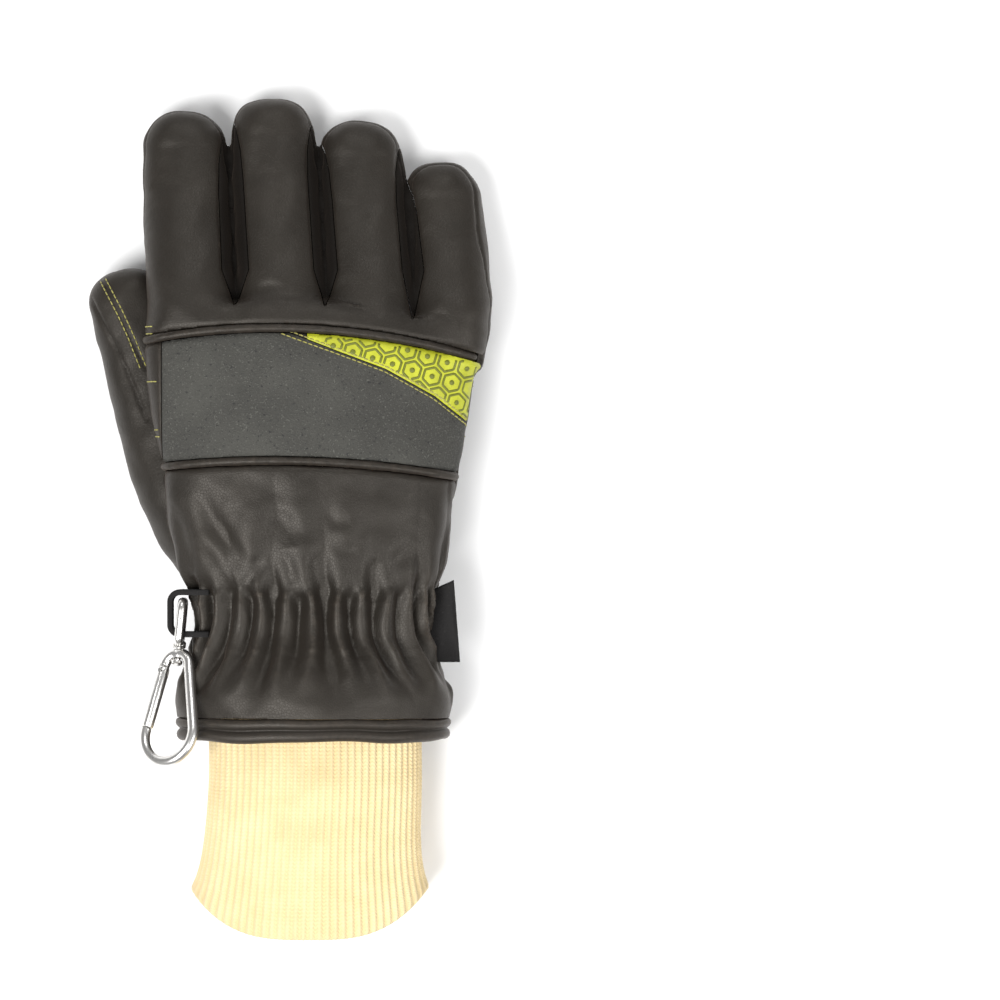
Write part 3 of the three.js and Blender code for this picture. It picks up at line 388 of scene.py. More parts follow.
def grid_of(piece):
    """A mesh as arrays: points in the glove's millimetres, normals and edges."""
    mesh = piece.data
    points = np.empty(len(mesh.vertices) * 3)
    mesh.vertices.foreach_get("co", points)
    normals = np.empty(len(mesh.vertices) * 3)
    mesh.vertex_normals.foreach_get("vector", normals)
    edges = np.empty(len(mesh.edges) * 2, dtype=np.int64)
    mesh.edges.foreach_get("vertices", edges)
    return points.reshape(-1, 3) * 1000 - SHIFT, normals.reshape(-1, 3), edges.reshape(-1, 2)


def put_back(piece, points):
    piece.data.vertices.foreach_set("co", to_frame(points).ravel())
    piece.data.update()


def relax(points, edges, rounds, weight, keep_size=True):
    """Averages each point with its neighbours, by a weight of its own."""
    count = np.bincount(edges.ravel(), minlength=len(points))[:, None]
    one, two = edges[:, 0], edges[:, 1]

    def pull(now):
        total = [np.bincount(one, now[two, k], len(now)) + np.bincount(two, now[one, k], len(now))
                 for k in range(3)]
        return np.stack(total, axis=-1) / count - now

    for step in range(rounds):
        points = points + pull(points) * weight
        if keep_size:
            points = points - pull(points) * weight * 1.04
    return points


def voxels(piece, size):
    even = piece.modifiers.new("even", "REMESH")
    even.mode = "VOXEL"
    even.voxel_size = size
    bake(piece)


CROTCH = {"below": 3.0, "reach": 10.0, "rounds": 70, "weight": 0.75}
hand = body_solid("hand_form", 0.0, np.linspace(0, 1, 120), 200)
for finger in FINGERS:
    other = finger_solid("finger_form", finger, 0.0, 72, 48)
    combine(hand, other, "UNION")
    drop(other)
voxels(hand, VOXEL)
points, normals, edges = grid_of(hand)
past_crotch = points[:, 1] - line_across(1.0, points[:, 0]) + CROTCH["below"]
crotch = np.exp(-(past_crotch / CROTCH["reach"]) ** 2)[:, None]
points = relax(points, edges, CROTCH["rounds"], CROTCH["weight"] * crotch, keep_size=False)
points = relax(points, edges, 5, 0.5)
points[:, 2] = np.maximum(points[:, 2], 0)

# Puckers of the elastic: 26 round the wrist, each a plump spindle between two sharp valleys
PUCKERS = 26
PUCKER_HEIGHT = 6.8
DEEPEST = -2.2
ELASTIC_TOP, ELASTIC_FOOT = 58.0, 33.0
at = np.clip(points[:, 1] / BODY_LENGTH, 0, 1)
left, right = section("left", at) * HALF_WIDTH, section("right", at) * HALF_WIDTH
across = np.clip((points[:, 0] - (left + right) / 2) / ((right - left) / 2), -1, 1)
top_side = points[:, 2] > section("middle", at) * BODY_THICKNESS
turn = np.where(top_side, np.arcsin(across), np.pi - np.arcsin(across))
y = points[:, 1]
fan = 3.7 * np.clip((y - 46) / 26, -1.2, 1.2) * np.sin(turn)
wander = (fan + 0.5 * np.sin(3 * turn + 0.6) + 0.4 * np.sin(7 * turn + y / 14)
          + 0.35 * np.sin(y / 8 + 5 * turn))
share = np.clip((y - ELASTIC_FOOT) / (ELASTIC_TOP - ELASTIC_FOOT), 0, 1)
plump = np.sin(np.pi * share) ** 0.8
ridge = np.sqrt(np.cos((PUCKERS * turn + wander) / 2 - 0.1) ** 2 + 0.02) ** (2.4 - 1.7 * plump)
uneven = 1 + 0.3 * np.sin(5 * turn + 1.1) + 0.25 * np.sin(11 * turn + 0.4)
in_elastic = ease(ELASTIC_FOOT - 5, ELASTIC_FOOT + 3, y) * (1 - ease(ELASTIC_TOP - 3, ELASTIC_TOP + 4, y))
rows = sum(np.exp(-((y - row) / 1.2) ** 2) for row in (ELASTIC_TOP - 1, ELASTIC_FOOT + 1))
pucker = PUCKER_HEIGHT * uneven * (0.5 + 0.5 * plump) * (ridge - 0.58 + 0.2 * (1 - plump))
lift = in_elastic * (pucker - 0.25 * rows)
# Soft folds run up into the hand and down into the flare, wider and fewer as they go
half_ridge = np.abs(np.cos(PUCKERS * turn / 4 + 0.4 * wander + 0.5)) ** 1.1
above = ease(ELASTIC_TOP - 4, ELASTIC_TOP + 2, y) * np.exp(-np.maximum(y - ELASTIC_TOP, 0) / 19)
below = (1 - ease(ELASTIC_FOOT - 3, ELASTIC_FOOT + 5, y)) * ease(10, 27, y)
lift += 3.2 * above * (half_ridge - 0.6) * (1 + 0.5 * np.sin(4 * turn + 2))
lift += 2.8 * above * np.exp(-np.maximum(y - ELASTIC_TOP, 0) / 7) * (ridge - 0.6)
lift += 2.6 * below * (half_ridge - 0.55) * (1 + 0.4 * np.sin(6 * turn))
lift += 2.6 * below * ease(16, 30, y) * (ridge - 0.6)

# Creases in the leather, read off the photograph: a line, its depth and half width in millimetres
BACK_CREASES = [
    ([(201, 492), (214, 520), (232, 545), (250, 572)], 2.2, 4.0),
    ([(251, 585), (256, 569), (262, 556)], 1.4, 3.0),
    ([(268, 512), (286, 520), (294, 548)], 1.3, 4.5),
    ([(296, 585), (291, 565), (284, 550)], 1.2, 3.0),
    ([(318, 588), (316, 565), (322, 548)], 1.2, 3.0),
    ([(330, 508), (338, 522), (352, 518)], 0.8, 3.2),
    ([(332, 540), (346, 550), (356, 545)], 0.7, 3.0),
    ([(392, 590), (400, 560), (414, 540)], 1.4, 4.0),
    ([(372, 592), (372, 575), (378, 558)], 1.1, 3.0),
    ([(172, 500), (182, 540), (196, 575)], 1.3, 3.2),
    ([(223, 590), (214, 566), (204, 545)], 1.2, 3.0),
    ([(340, 300), (362, 306), (384, 318)], 0.8, 2.8),
    ([(258, 290), (272, 287), (286, 291)], 0.7, 2.2),
    ([(226, 252), (236, 268), (238, 292)], 0.5, 3.0),
    ([(424, 322), (440, 316), (452, 320)], 0.7, 2.4),
    ([(150, 180), (168, 186), (196, 184)], 0.5, 3.5),
    ([(246, 170), (268, 175), (290, 172)], 0.45, 3.5),
    ([(337, 205), (360, 209), (384, 206)], 0.5, 3.5),
    ([(432, 235), (452, 240), (470, 238)], 0.5, 3.0),
]
PALM_CREASES = [
    ([(-70, 178), (-52, 174), (-36, 177)], 1.5, 2.4),
    ([(-32, 181), (-16, 177), (-2, 181)], 1.5, 2.4),
    ([(4, 180), (20, 175), (35, 177)], 1.5, 2.4),
    ([(38, 172), (52, 166), (66, 168)], 1.5, 2.4),
    ([(-68, 187), (-54, 183), (-40, 188)], 0.9, 2.2),
    ([(-70, 206), (-53, 203), (-37, 206)], 1.1, 2.6),
    ([(-30, 190), (-20, 186), (-6, 192)], 0.9, 2.2),
    ([(-35, 210), (-18, 207), (-2, 210)], 1.1, 2.6),
    ([(2, 203), (18, 200), (34, 203)], 0.7, 2.8),
    ([(42, 178), (52, 175), (62, 180)], 0.9, 2.2),
    ([(38, 190), (51, 187), (64, 190)], 0.9, 2.6),
    ([(60, 92), (40, 86), (18, 84)], 1.1, 3.6),
    ([(62, 78), (44, 70), (30, 72)], 0.9, 3.2),
]
xy = points[:, :2]
is_top = normals[:, 2] > 0.15
is_palm = normals[:, 2] < -0.15
for line, depth, width in BACK_CREASES:
    lift -= is_top * crease(xy, photo(line), depth, width)
for line, depth, width in PALM_CREASES:
    lift -= is_palm * crease(xy, line, depth, width)
calm = 1 - 0.7 * is_top * ease(105, 112, y) * (1 - ease(158, 166, y))
lift += calm * (0.27 * waves(points, [23, 31, 17], 0.4) + 0.04 * waves(points, [9, 7.3, 11], 2.2))
lift *= ease(0, 5, y) * 0.9 + 0.1


def edge_x(finger, y, side, inset=0.0):
    slant = max((y - BODY_LENGTH) / (finger["reach"] * FINGER_LENGTH), 0)
    x = finger["root"] + (finger["tip"] - finger["root"]) * slant
    return x * HALF_WIDTH + side * (finger["width"] * FINGER_WIDTH / 2 - inset)


def strip_outline(left, right, grow=0.0):
    """The strip between two fingers in plan: both facing sides, from the crotch to a point near each tip."""
    inset = STRIP_INSET + grow
    ends = [BODY_LENGTH + f["reach"] * FINGER_LENGTH - STRIP_END + grow for f in (left, right)]
    gap = [(edge_x(left, e, 1) + edge_x(right, e, -1)) / 2 for e in (BODY_LENGTH, *ends)]
    foot = line_across(1.0, gap[0]) - STRIP_FOOT - grow
    taper = [(0, 0), (12, 0.15), (20, 0.5), (25, 1)]

    def facing(finger, end, way):
        return [(edge_x(finger, end - 25 + d, way, inset * (1 - s) + 0.5 * s), end - 20 + d)
                for d, s in taper]

    up, down = facing(right, ends[1], -1), facing(left, ends[0], 1)
    return [(gap[0] - 0.2 - grow, foot), (gap[0] + 0.2 + grow, foot),
            (edge_x(right, BODY_LENGTH, -1, inset), BODY_LENGTH + 12), *up,
            (gap[2] + 0.1, ends[1] + 6), (gap[1] - 0.1, ends[0] + 6), *down[::-1],
            (edge_x(left, BODY_LENGTH, 1, inset), BODY_LENGTH + 12)]


STRIPS = [strip_outline(FINGERS[i], FINGERS[i + 1]) for i in range(3)]
for outline in STRIPS:
    near = line_distance(xy, outline + outline[:1])
    lift += dip(near, 1.4, 0.7) * (np.abs(normals[:, 2]) > 0.1)
seam_height = SIDE_SEAM * np.interp(y / BODY_LENGTH, *zip(*SEAM_FALL))
outer_side = np.abs(normals[:, 2]) < 0.8
lift += dip(points[:, 2] - seam_height, 1.6, 0.8) * outer_side
upper, lower = cross_line(UPPER_WELT), cross_line(LOWER_WELT)
back_seam = points[:, 2] > SIDE_SEAM
for line in (upper, lower):
    lift += back_seam * dip(np.maximum(line_distance(xy, line) - WELT_RADIUS, 0), 2.4, 1.3)
in_band = back_seam & under_line(xy, upper) & ~under_line(xy, lower)
lift += in_band * dip(line_distance(xy, shares(WEDGE_EDGE)), 1.3, 0.55)
lift += in_band * dip(points[:, 0] + PATCH_WRAP, 1.4, 0.7)
for line in (PATCH_TOP, PATCH_BOTTOM):
    lift += ~back_seam * dip(line_distance(xy, shares(line)), 1.5, 0.8)
heel = ~back_seam & under_line(xy, shares(PATCH_BOTTOM))
lift += heel * dip(points[:, 0] - HEEL_SEAM, 1.8, 1.1)
points = points + np.maximum(lift, DEEPEST)[:, None] * normals
points[:, 2] = np.maximum(points[:, 2], 0)
put_back(hand, points)

# Leather hand, its finish
# Black cowhide with a fine grain and a lighter brown tone on its most pointed places, partly wear and partly
# painted highlight.


class Shade:
    """A socket of the material being made. Sums and products of it add Math nodes."""
    tree = None

    def __init__(self, socket):
        self.socket = socket

    @staticmethod
    def node(kind, settings=None, sockets=None, out=0):
        made = Shade.tree.nodes.new("ShaderNode" + kind)
        for name, value in (settings or {}).items():
            if name == "stops":
                ramp = made.color_ramp.elements
                ramp.remove(ramp[1])
                ramp[0].position, ramp[0].color = value[0][0], (*value[0][1], 1)
                for place, colour in value[1:]:
                    ramp.new(place).color = (*colour, 1)
            else:
                setattr(made, name, value)
        for name, value in (sockets or {}).items():
            if isinstance(value, Shade):
                Shade.tree.links.new(value.socket, made.inputs[name])
            else:
                made.inputs[name].default_value = value
        return Shade(made.outputs[out])

    def maths(self, how, other, turned=False):
        first, second = (other, self) if turned else (self, other)
        return Shade.node("Math", {"operation": how}, {0: first, 1: second})

    def __add__(self, other):
        return self.maths("ADD", other)

    def __sub__(self, other):
        return self.maths("SUBTRACT", other)

    def __rsub__(self, other):
        return self.maths("SUBTRACT", other, turned=True)

    def __mul__(self, other):
        return self.maths("MULTIPLY", other)

    def __truediv__(self, other):
        return self.maths("DIVIDE", other)

    def __pow__(self, other):
        return self.maths("POWER", other)

    __radd__ = __add__
    __rmul__ = __mul__


def new_material(name):
    made = bpy.data.materials.new(name)
    made.use_nodes = True
    made.node_tree.nodes.clear()
    Shade.tree = made.node_tree
    return made


def finish_with(sockets):
    surface = Shade.node("BsdfPrincipled", {}, sockets)
    output = Shade.tree.nodes.new("ShaderNodeOutputMaterial")
    Shade.tree.links.new(surface.socket, output.inputs["Surface"])


def noise(place, size, detail=2.0, rough=0.5):
    """Noise of about the given size, in metres."""
    return Shade.node("TexNoise", {}, {"Vector": place, "Scale": 1 / size, "Detail": detail,
                                       "Roughness": rough})


def cells(place, size, feature="DISTANCE_TO_EDGE"):
    return Shade.node("TexVoronoi", {"feature": feature}, {"Vector": place, "Scale": 1 / size})


def between(low, high, value):
    """0 below the first value and 1 above the second, smoothly."""
    return Shade.node("MapRange", {"interpolation_type": "SMOOTHSTEP"},
                      {"Value": value, "From Min": low, "From Max": high})


def mix(share, first, second):
    """Blends two colours, each (red, green, blue) or a colour socket."""
    full = [c if isinstance(c, Shade) else (*c, 1) for c in (first, second)]
    return Shade.node("Mix", {"data_type": "RGBA"}, {0: share, 6: full[0], 7: full[1]}, out=2)


def bump(height, depth, strength=1.0, under=None):
    sockets = {"Height": height, "Distance": depth, "Strength": strength}
    if under is not None:
        sockets["Normal"] = under
    return Shade.node("Bump", {}, sockets)


def leather_material(name, dark, light, gloss, shine):
    """Leather from a dark tone and a lighter brown one on its most pointed places, partly wear and partly
    painted highlight, with a grain of small pebbles and finer wrinkles.
    """
    made = new_material(name)
    place = Shade.node("TexCoord", out="Object")
    height = Shade.node("NewGeometry", out="Pointiness")
    broad = noise(place, 0.035, 3)
    fine = noise(place, 0.0022, 4, 0.6)
    pebbles = cells(place, 0.0011)
    wrinkles = noise(place, 0.006, 4, 0.65)
    # The lighter brown tone on the most pointed places is partly wear and partly painted highlight.
    wear_and_highlight = between(0.505, 0.56, height) * between(0.3, 0.7, fine)
    tone = mix(between(0.35, 0.7, broad), dark, tuple(c * 1.35 for c in dark))
    tone = mix(wear_and_highlight * 0.5, tone, light)
    rough = gloss + 0.12 * broad + 0.1 * fine + 0.08 * (1 - between(0.0, 0.12, pebbles))
    grain = bump(between(0.0, 0.14, pebbles) + 0.5 * fine, 0.00004, 0.8)
    folds = bump(wrinkles, 0.0001, 0.8, grain)
    finish_with({"Base Color": tone, "Roughness": rough, "Normal": folds,
                 "Specular IOR Level": shine, "Specular Tint": (1.0, 0.94, 0.86, 1), "Sheen Weight": 0.05,
                 "Sheen Roughness": 0.5, "Sheen Tint": (0.8, 0.62, 0.5, 1)})
    return made


def dress(piece, material, slot, *nodes, body="glove"):
    """Gives a piece its finish and its body, and hides the nodes it stands for."""
    piece.data.materials.clear()
    piece.data.materials.append(material)
    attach(piece, body)
    if nodes:
        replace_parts(piece, *nodes)
    return piece


# The strips between the fingers are the same leather with painted shade, darker and matt, because no light
# reaches them
# The leather's light tone is a lighter brown, partly wear and partly painted highlight.
LEATHER_DARK, LEATHER_WEAR_HIGHLIGHT = (0.0105, 0.0088, 0.007), (0.042, 0.032, 0.024)
STRIP_PAINTED_SHADE = (0.004, 0.0034, 0.003)
leather = leather_material("black_leather", LEATHER_DARK, LEATHER_WEAR_HIGHLIGHT, 0.35, 0.33)
matt_leather = leather_material("matt_leather", STRIP_PAINTED_SHADE, LEATHER_DARK, 0.6, 0.1)

# Leather hand, its panels
# The hollow is taken out and the shell is cut along the seams. Each panel is a piece of its own.
hollow = body_solid("hollow", -WALL, np.linspace(-0.1, 1 - WALL / BODY_LENGTH, 40), 64)
for finger in FINGERS:
    other = finger_solid("hollow_finger", finger, -WALL, 32, 16)
    combine(hollow, other, "UNION")
    drop(other)
thumb_hollow = thumb_solid("thumb_hollow", -WALL, 36, 30)
combine(hollow, thumb_hollow, "UNION")


def copy_of(piece, name):
    made = piece.copy()
    made.data = piece.data.copy()
    made.name = name
    bpy.context.scene.collection.objects.link(made)
    return made


whole_hand = copy_of(hand, "whole_hand")
combine(hand, hollow, "DIFFERENCE")


def prism(outline, low, high):
    """Upright solid over an outline in plan."""
    outline = [tuple(p) for p in outline]
    n = len(outline)
    points = [(x, y, low) for x, y in outline] + [(x, y, high) for x, y in outline]
    faces = [list(range(n))[::-1], list(range(n, 2 * n))]
    faces += [[i, (i + 1) % n, n + (i + 1) % n, n + i] for i in range(n)]
    return face_out(object_from("cutter", points, faces, smooth=False), triangles=True)


def over_seam(shift, top):
    """Everything over the side seam of the fingers, or under it."""
    line = [(y * BODY_LENGTH, z * SIDE_SEAM + shift) for y, z in SEAM_FALL]
    profile = line + [(line[-1][0], top), (line[0][0], top)]
    n = len(profile)
    points = [(-FAR, y, z) for y, z in profile] + [(FAR, y, z) for y, z in profile]
    faces = [list(range(n)), list(range(n, 2 * n))[::-1]]
    faces += [[i, n + i, n + (i + 1) % n, (i + 1) % n] for i in range(n)]
    return face_out(object_from("cutter", points, faces, smooth=False), triangles=True)


def panel(name, steps):
    """A copy of the shell, crossed with or cut by one cutter after another."""
    piece = copy_of(hand, name)
    for how, cutter in steps:
        combine(piece, cutter, how)
        drop(cutter)
    piece.data.shade_smooth()
    return piece


def beyond(line):
    return line + [(line[-1][0], 3 * FAR), (line[0][0], 3 * FAR)]


def from_to(low, high):
    return low + high[::-1]


def side_of(x, right):
    far = FAR if right else -FAR
    return [(x, -20), (far, -20), (far, 3 * FAR), (x, 3 * FAR)]


half = GAP / 2
welt_room = WELT_RADIUS + GAP
HEIGHT = 3 * BODY_THICKNESS
FABRIC_START = -4.0
room = [strip_outline(FINGERS[i], FINGERS[i + 1], GAP) for i in range(3)]
band = from_to(cross_line(LOWER_WELT, welt_room), cross_line(UPPER_WELT, -welt_room))
patch = from_to(shares(PATCH_BOTTOM, half), shares(PATCH_TOP, -half))
hem_line = cross_line(HEM_LENGTH / BODY_LENGTH, GAP)
heel_zone = from_to(hem_line, shares(PATCH_BOTTOM, -half))

backs = panel("finger_backs_skin", [
    ("INTERSECT", prism(beyond(cross_line(UPPER_WELT, welt_room)), -1, HEIGHT)),
    ("INTERSECT", over_seam(half, HEIGHT))] + [("DIFFERENCE", prism(r, -5, HEIGHT)) for r in room])
dress(backs, leather, "leather", "back_index", "back_middle", "back_ring", "back_little")
fronts = panel("finger_fronts_skin", [
    ("INTERSECT", prism(beyond(shares(PATCH_TOP, half)), -1, HEIGHT)),
    ("INTERSECT", over_seam(-half, -1))] + [("DIFFERENCE", prism(r, -5, HEIGHT)) for r in room])
dress(fronts, leather, "leather", "front_index", "front_middle", "front_ring", "front_little")
# Each strip between two fingers gets the darker leather, its painted shade.
for outline, node in zip(STRIPS, ("strip_index_middle", "strip_middle_ring", "strip_ring_little")):
    dress(panel(f"{node}_skin", [("INTERSECT", prism(outline, -1, HEIGHT))]), matt_leather, "leather", node)
patch_skin = panel("palm_patch_skin", [("INTERSECT", prism(patch, -1, SIDE_SEAM - half))])
wrap_skin = panel("palm_patch_wrap", [
    ("INTERSECT", prism(band, SIDE_SEAM - half, HEIGHT)),
    ("INTERSECT", prism(side_of(-PATCH_WRAP - half, False), 0, HEIGHT))])
dress(patch_skin, leather, "leather", "palm_patch")
dress(wrap_skin, leather, "leather", "palm_patch")
gauntlet_zone = from_to(hem_line, cross_line(LOWER_WELT, -welt_room))
gauntlet = panel("gauntlet_back_skin", [("INTERSECT", prism(gauntlet_zone, SIDE_SEAM + half, HEIGHT))])
dress(gauntlet, leather, "leather", "gauntlet_back")
for node, edge, right in (("heel_thumb_side", -half, False), ("heel_little_side", half, True)):
    heel_skin = panel(f"{node}_skin", [
        ("INTERSECT", prism(heel_zone, -1, SIDE_SEAM - half)),
        ("INTERSECT", prism(side_of(HEEL_SEAM + edge, right), -1, HEIGHT))])
    dress(heel_skin, leather, "leather", node)

# Thumb
# Set into the palm as a tube of its own, with a back panel sewn round it in yellow thread.
THUMB_BACK_SEAMS = [
    [(97, 276), (112, 300), (127, 332), (145, 368)],
    [(88, 298), (100, 320), (112, 342), (130, 380), (146, 420)],
]
THUMB_PALM_SEAMS = [
    [(-6.4, 96), (-26, 118), (-45, 140), (-62, 162), (-76, 182)],
    [(-10, 92), (-31, 116), (-50, 138), (-67, 160), (-80, 179)],
]
THUMB_VOXEL = 0.00095
thumb = thumb_solid("thumb_skin", 0.0, 120, 110)
voxels(thumb, THUMB_VOXEL)
points, normals, edges = grid_of(thumb)
points = relax(points, edges, 4, 0.5)
xy = points[:, :2]
lift = 0.27 * waves(points, [25, 33, 15], 1.4) + 0.04 * waves(points, [8, 6.5, 11], 0.3)
for line in THUMB_BACK_SEAMS:
    lift += (normals[:, 2] > 0.05) * dip(line_distance(xy, photo(line)), 1.5, 0.9)
for line in THUMB_PALM_SEAMS:
    lift += (normals[:, 2] < -0.05) * dip(line_distance(xy, line), 1.6, 1.0)
points = points + lift[:, None] * normals
points[:, 2] = np.maximum(points[:, 2], 0)
put_back(thumb, points)
whole_thumb = copy_of(thumb, "whole_thumb")
for solid in (thumb_hollow, whole_hand, hollow):
    combine(thumb, solid, "DIFFERENCE")
thumb.data.shade_smooth()
dress(thumb, leather, "leather", "thumb")

# Stitching
# Olive-yellow aramid thread in lockstitches, each a short bead sunk at both ends in the leather.
STITCH_STEP = 2.3
STITCH_LENGTH = 1.85
THREAD_RADIUS = 0.28


def surface_of(*pieces):
    """The outside of some pieces, to lay a line on."""
    corners, faces = [], []
    for piece in pieces:
        base = len(corners)
        corners += [v.co.copy() for v in piece.data.vertices]
        faces += [[base + i for i in p.vertices] for p in piece.data.polygons]
    return BVHTree.FromPolygons(corners, faces)


def laid_on(surface, places, from_above=True, height=0.0):
    """Points and normals, in millimetres, where a line in plan meets the surface."""
    found, ways = [], []
    for x, y in places:
        start = Vector(to_frame((x, y, 150.0 if from_above else -50.0)))
        spot, normal = surface.ray_cast(start, Vector((0, 0, -1 if from_above else 1)))[:2]
        if spot is not None:
            found.append(np.array(spot) * 1000 - SHIFT + height * np.array(normal))
            ways.append(np.array(normal))
    return np.reshape(found, (-1, 3)), np.reshape(ways, (-1, 3))


def beside(line, shift):
    """A line in plan moved to its left by a distance."""
    line = np.asarray(line, dtype=float)
    along = np.gradient(line, axis=0)
    along /= np.linalg.norm(along, axis=1, keepdims=True)
    return line + shift * np.stack([-along[:, 1], along[:, 0]], axis=-1)


def tube_rings(path, normals, radii, sides, flat=1.0):
    """Rings of points round a path, flattened along its normals by a share."""
    along = np.gradient(path, axis=0)
    along /= np.maximum(np.linalg.norm(along, axis=1, keepdims=True), 1e-9)
    across = np.cross(along, normals)
    across /= np.maximum(np.linalg.norm(across, axis=1, keepdims=True), 1e-9)
    up = np.cross(across, along)
    angle = np.linspace(0, 2 * np.pi, sides, endpoint=False)[None, :, None]
    radii = np.asarray(radii, dtype=float).reshape(-1, 1, 1)
    return path[:, None] + radii * (np.cos(angle) * across[:, None] + flat * np.sin(angle) * up[:, None])


def beads_mesh(name, tubes):
    """One mesh of closed tubes, each given as rings of points."""
    points, faces = [], []
    for rings in tubes:
        rows, sides = rings.shape[:2]
        base = len(points)
        points += rings.reshape(-1, 3).tolist()
        for r in range(rows - 1):
            for k in range(sides):
                a, b = base + r * sides + k, base + r * sides + (k + 1) % sides
                faces.append([a, b, b + sides, a + sides])
        last = base + (rows - 1) * sides
        faces += [list(range(base, base + sides))[::-1], list(range(last, last + sides))]
    return face_out(object_from(name, points, faces))


def stitches(name, surface, lines, from_above=True, step=STITCH_STEP):
    """One mesh of short beads along some lines in plan."""
    sides, rows = 6, 5
    share = np.linspace(-0.5, 0.5, rows)
    beads = []
    for line in lines:
        path, normals = laid_on(surface, spaced(line, 0.3), from_above)
        even = spaced(np.hstack([path, normals]), step / 2, first=3)
        path, normals = even[:, :3], even[:, 3:]
        for i in range(1, len(path) - 1, 2):
            way = path[i + 1] - path[i - 1]
            way = way / np.linalg.norm(way)
            arch = THREAD_RADIUS * (0.75 - 3.4 * share ** 2)
            spine = path[i] + np.outer(share * STITCH_LENGTH, way) + np.outer(arch, normals[i])
            beads.append(tube_rings(spine, np.repeat(normals[i][None], rows, axis=0),
                                    THREAD_RADIUS * (1 - 1.6 * share ** 2), sides))
    return beads_mesh(name, beads)


thread = new_material("yellow_thread")
place = Shade.node("TexCoord", out="Object")
strand = noise(place, 0.0006, 2)
finish_with({"Base Color": mix(between(0.3, 0.7, strand), (0.2, 0.18, 0.03), (0.36, 0.33, 0.08)),
             "Roughness": 0.62, "Normal": bump(strand, 0.00008), "Sheen Weight": 0.15})

hand_face = surface_of(whole_hand)
thumb_face = surface_of(whole_thumb)

# Knuckle band and bright wedge
# A stiff band of rough speckled leather between the welts, with a bright embossed fabric let into
# its corner under a double row of stitches. The fabric's pattern is plain hexagons, each round a dot.
band_skin = panel("knuckle_band_skin", [
    ("INTERSECT", prism(band, SIDE_SEAM + half, HEIGHT)),
    ("INTERSECT", prism(side_of(-PATCH_WRAP + half, True), 0, HEIGHT)),
    ("DIFFERENCE", prism(beyond(shares(WEDGE_EDGE, -half)), 0, HEIGHT))])


def wedge_panel(name, edge, right):
    """The part of the wedge on one side of the line where its fabric starts."""
    return panel(name, [
        ("INTERSECT", prism(band, SIDE_SEAM + half, HEIGHT)),
        ("INTERSECT", prism(beyond(shares(WEDGE_EDGE, half)), 0, HEIGHT)),
        ("INTERSECT", prism(side_of(FABRIC_START + edge, right), 0, HEIGHT))])


wedge_tip = wedge_panel("wedge_tip_skin", -half, False)
wedge_skin = wedge_panel("bright_wedge_skin", half, True)

speckled = new_material("speckled_leather")
place = Shade.node("TexCoord", out="Object")
coarse = noise(place, 0.0011, 3, 0.7)
flecks = between(0.52, 0.66, noise(place, 0.0008, 2, 0.8))
clouds = between(0.3, 0.7, noise(place, 0.025, 3))
tone = mix(clouds, (0.033, 0.032, 0.028), (0.047, 0.046, 0.04))
tone = mix(flecks * 0.7, tone, (0.105, 0.105, 0.092))
tone = mix(between(0.6, 0.72, noise(place, 0.0014, 2, 0.7)) * 0.8, tone, (0.008, 0.008, 0.009))
finish_with({"Base Color": tone, "Roughness": 0.62 + 0.3 * coarse, "Specular IOR Level": 0.35,
             "Normal": bump(coarse + 0.6 * flecks, 0.00035, 0.9)})
dress(band_skin, speckled, "band", "knuckle_band")
dress(wedge_tip, leather, "leather", "bright_wedge")

bright = new_material("bright_fabric")
place = Shade.node("TexCoord", out="Object")
weave = noise(place, 0.0007, 2, 0.6)
tone = mix(between(0.3, 0.7, noise(place, 0.009, 3)), (0.33, 0.345, 0.01), (0.43, 0.45, 0.018))
tone = mix(between(0.55, 0.7, weave) * 0.4, tone, (0.25, 0.3, 0.01))
finish_with({"Base Color": tone, "Roughness": 0.42 + 0.2 * weave, "Normal": bump(weave, 0.00015, 0.7)})
dress(wedge_skin, bright, "wedge", "bright_wedge")

relief = new_material("relief_print")
place = Shade.node("TexCoord", out="Object")
weave = noise(place, 0.0006, 2)
finish_with({"Base Color": mix(weave, (0.085, 0.095, 0.006), (0.14, 0.155, 0.008)), "Roughness": 0.5,
             "Normal": bump(weave, 0.0001)})
HEXAGON_PITCH = 8.2
HEXAGON_SHARE = 0.43
HEXAGON_TILT = math.radians(-17)
DOT_RADIUS = 1.05


def is_inside(x, y, outline):
    crossed = False
    for (x0, y0), (x1, y1) in zip(outline, outline[1:] + outline[:1]):
        if (y0 > y) != (y1 > y) and x < (x1 - x0) * (y - y0) / (y1 - y0) + x0:
            crossed = not crossed
    return crossed


def relief_lines():
    """Hexagons in rows, cut where they leave the fabric, and the middles of those that are whole."""
    edge = [p for p in shares(WEDGE_EDGE, 1.2) if p[0] < 95]
    zone = edge + [p for p in cross_line(UPPER_WELT, -welt_room - 0.9) if p[0] > -30][::-1]
    c, s = math.cos(HEXAGON_TILT), math.sin(HEXAGON_TILT)
    runs, dots = [], []
    for row in range(-12, 13):
        for column in range(-14, 15):
            u = (column + 0.5 * (row % 2)) * HEXAGON_PITCH
            v = row * HEXAGON_PITCH * math.sqrt(3) / 2
            x, y = 30 + c * u - s * v, 150 + s * u + c * v
            corner = HEXAGON_TILT + math.pi / 6 + np.arange(7) * math.pi / 3
            ring = np.stack([x + HEXAGON_SHARE * HEXAGON_PITCH * np.cos(corner) * 1.08,
                             y + HEXAGON_SHARE * HEXAGON_PITCH * np.sin(corner) * 1.08], axis=-1)
            ring = spaced(ring, 0.7)
            run = []
            for p in ring:
                if is_inside(p[0], p[1], zone) and p[0] > FABRIC_START + 0.8:
                    run.append(p)
                elif len(run) > 3:
                    runs.append(run)
                    run = []
                else:
                    run = []
            if len(run) > 3:
                runs.append(run)
            if is_inside(x, y, zone) and x > FABRIC_START + 2:
                dots.append((x, y))
    return runs, dots


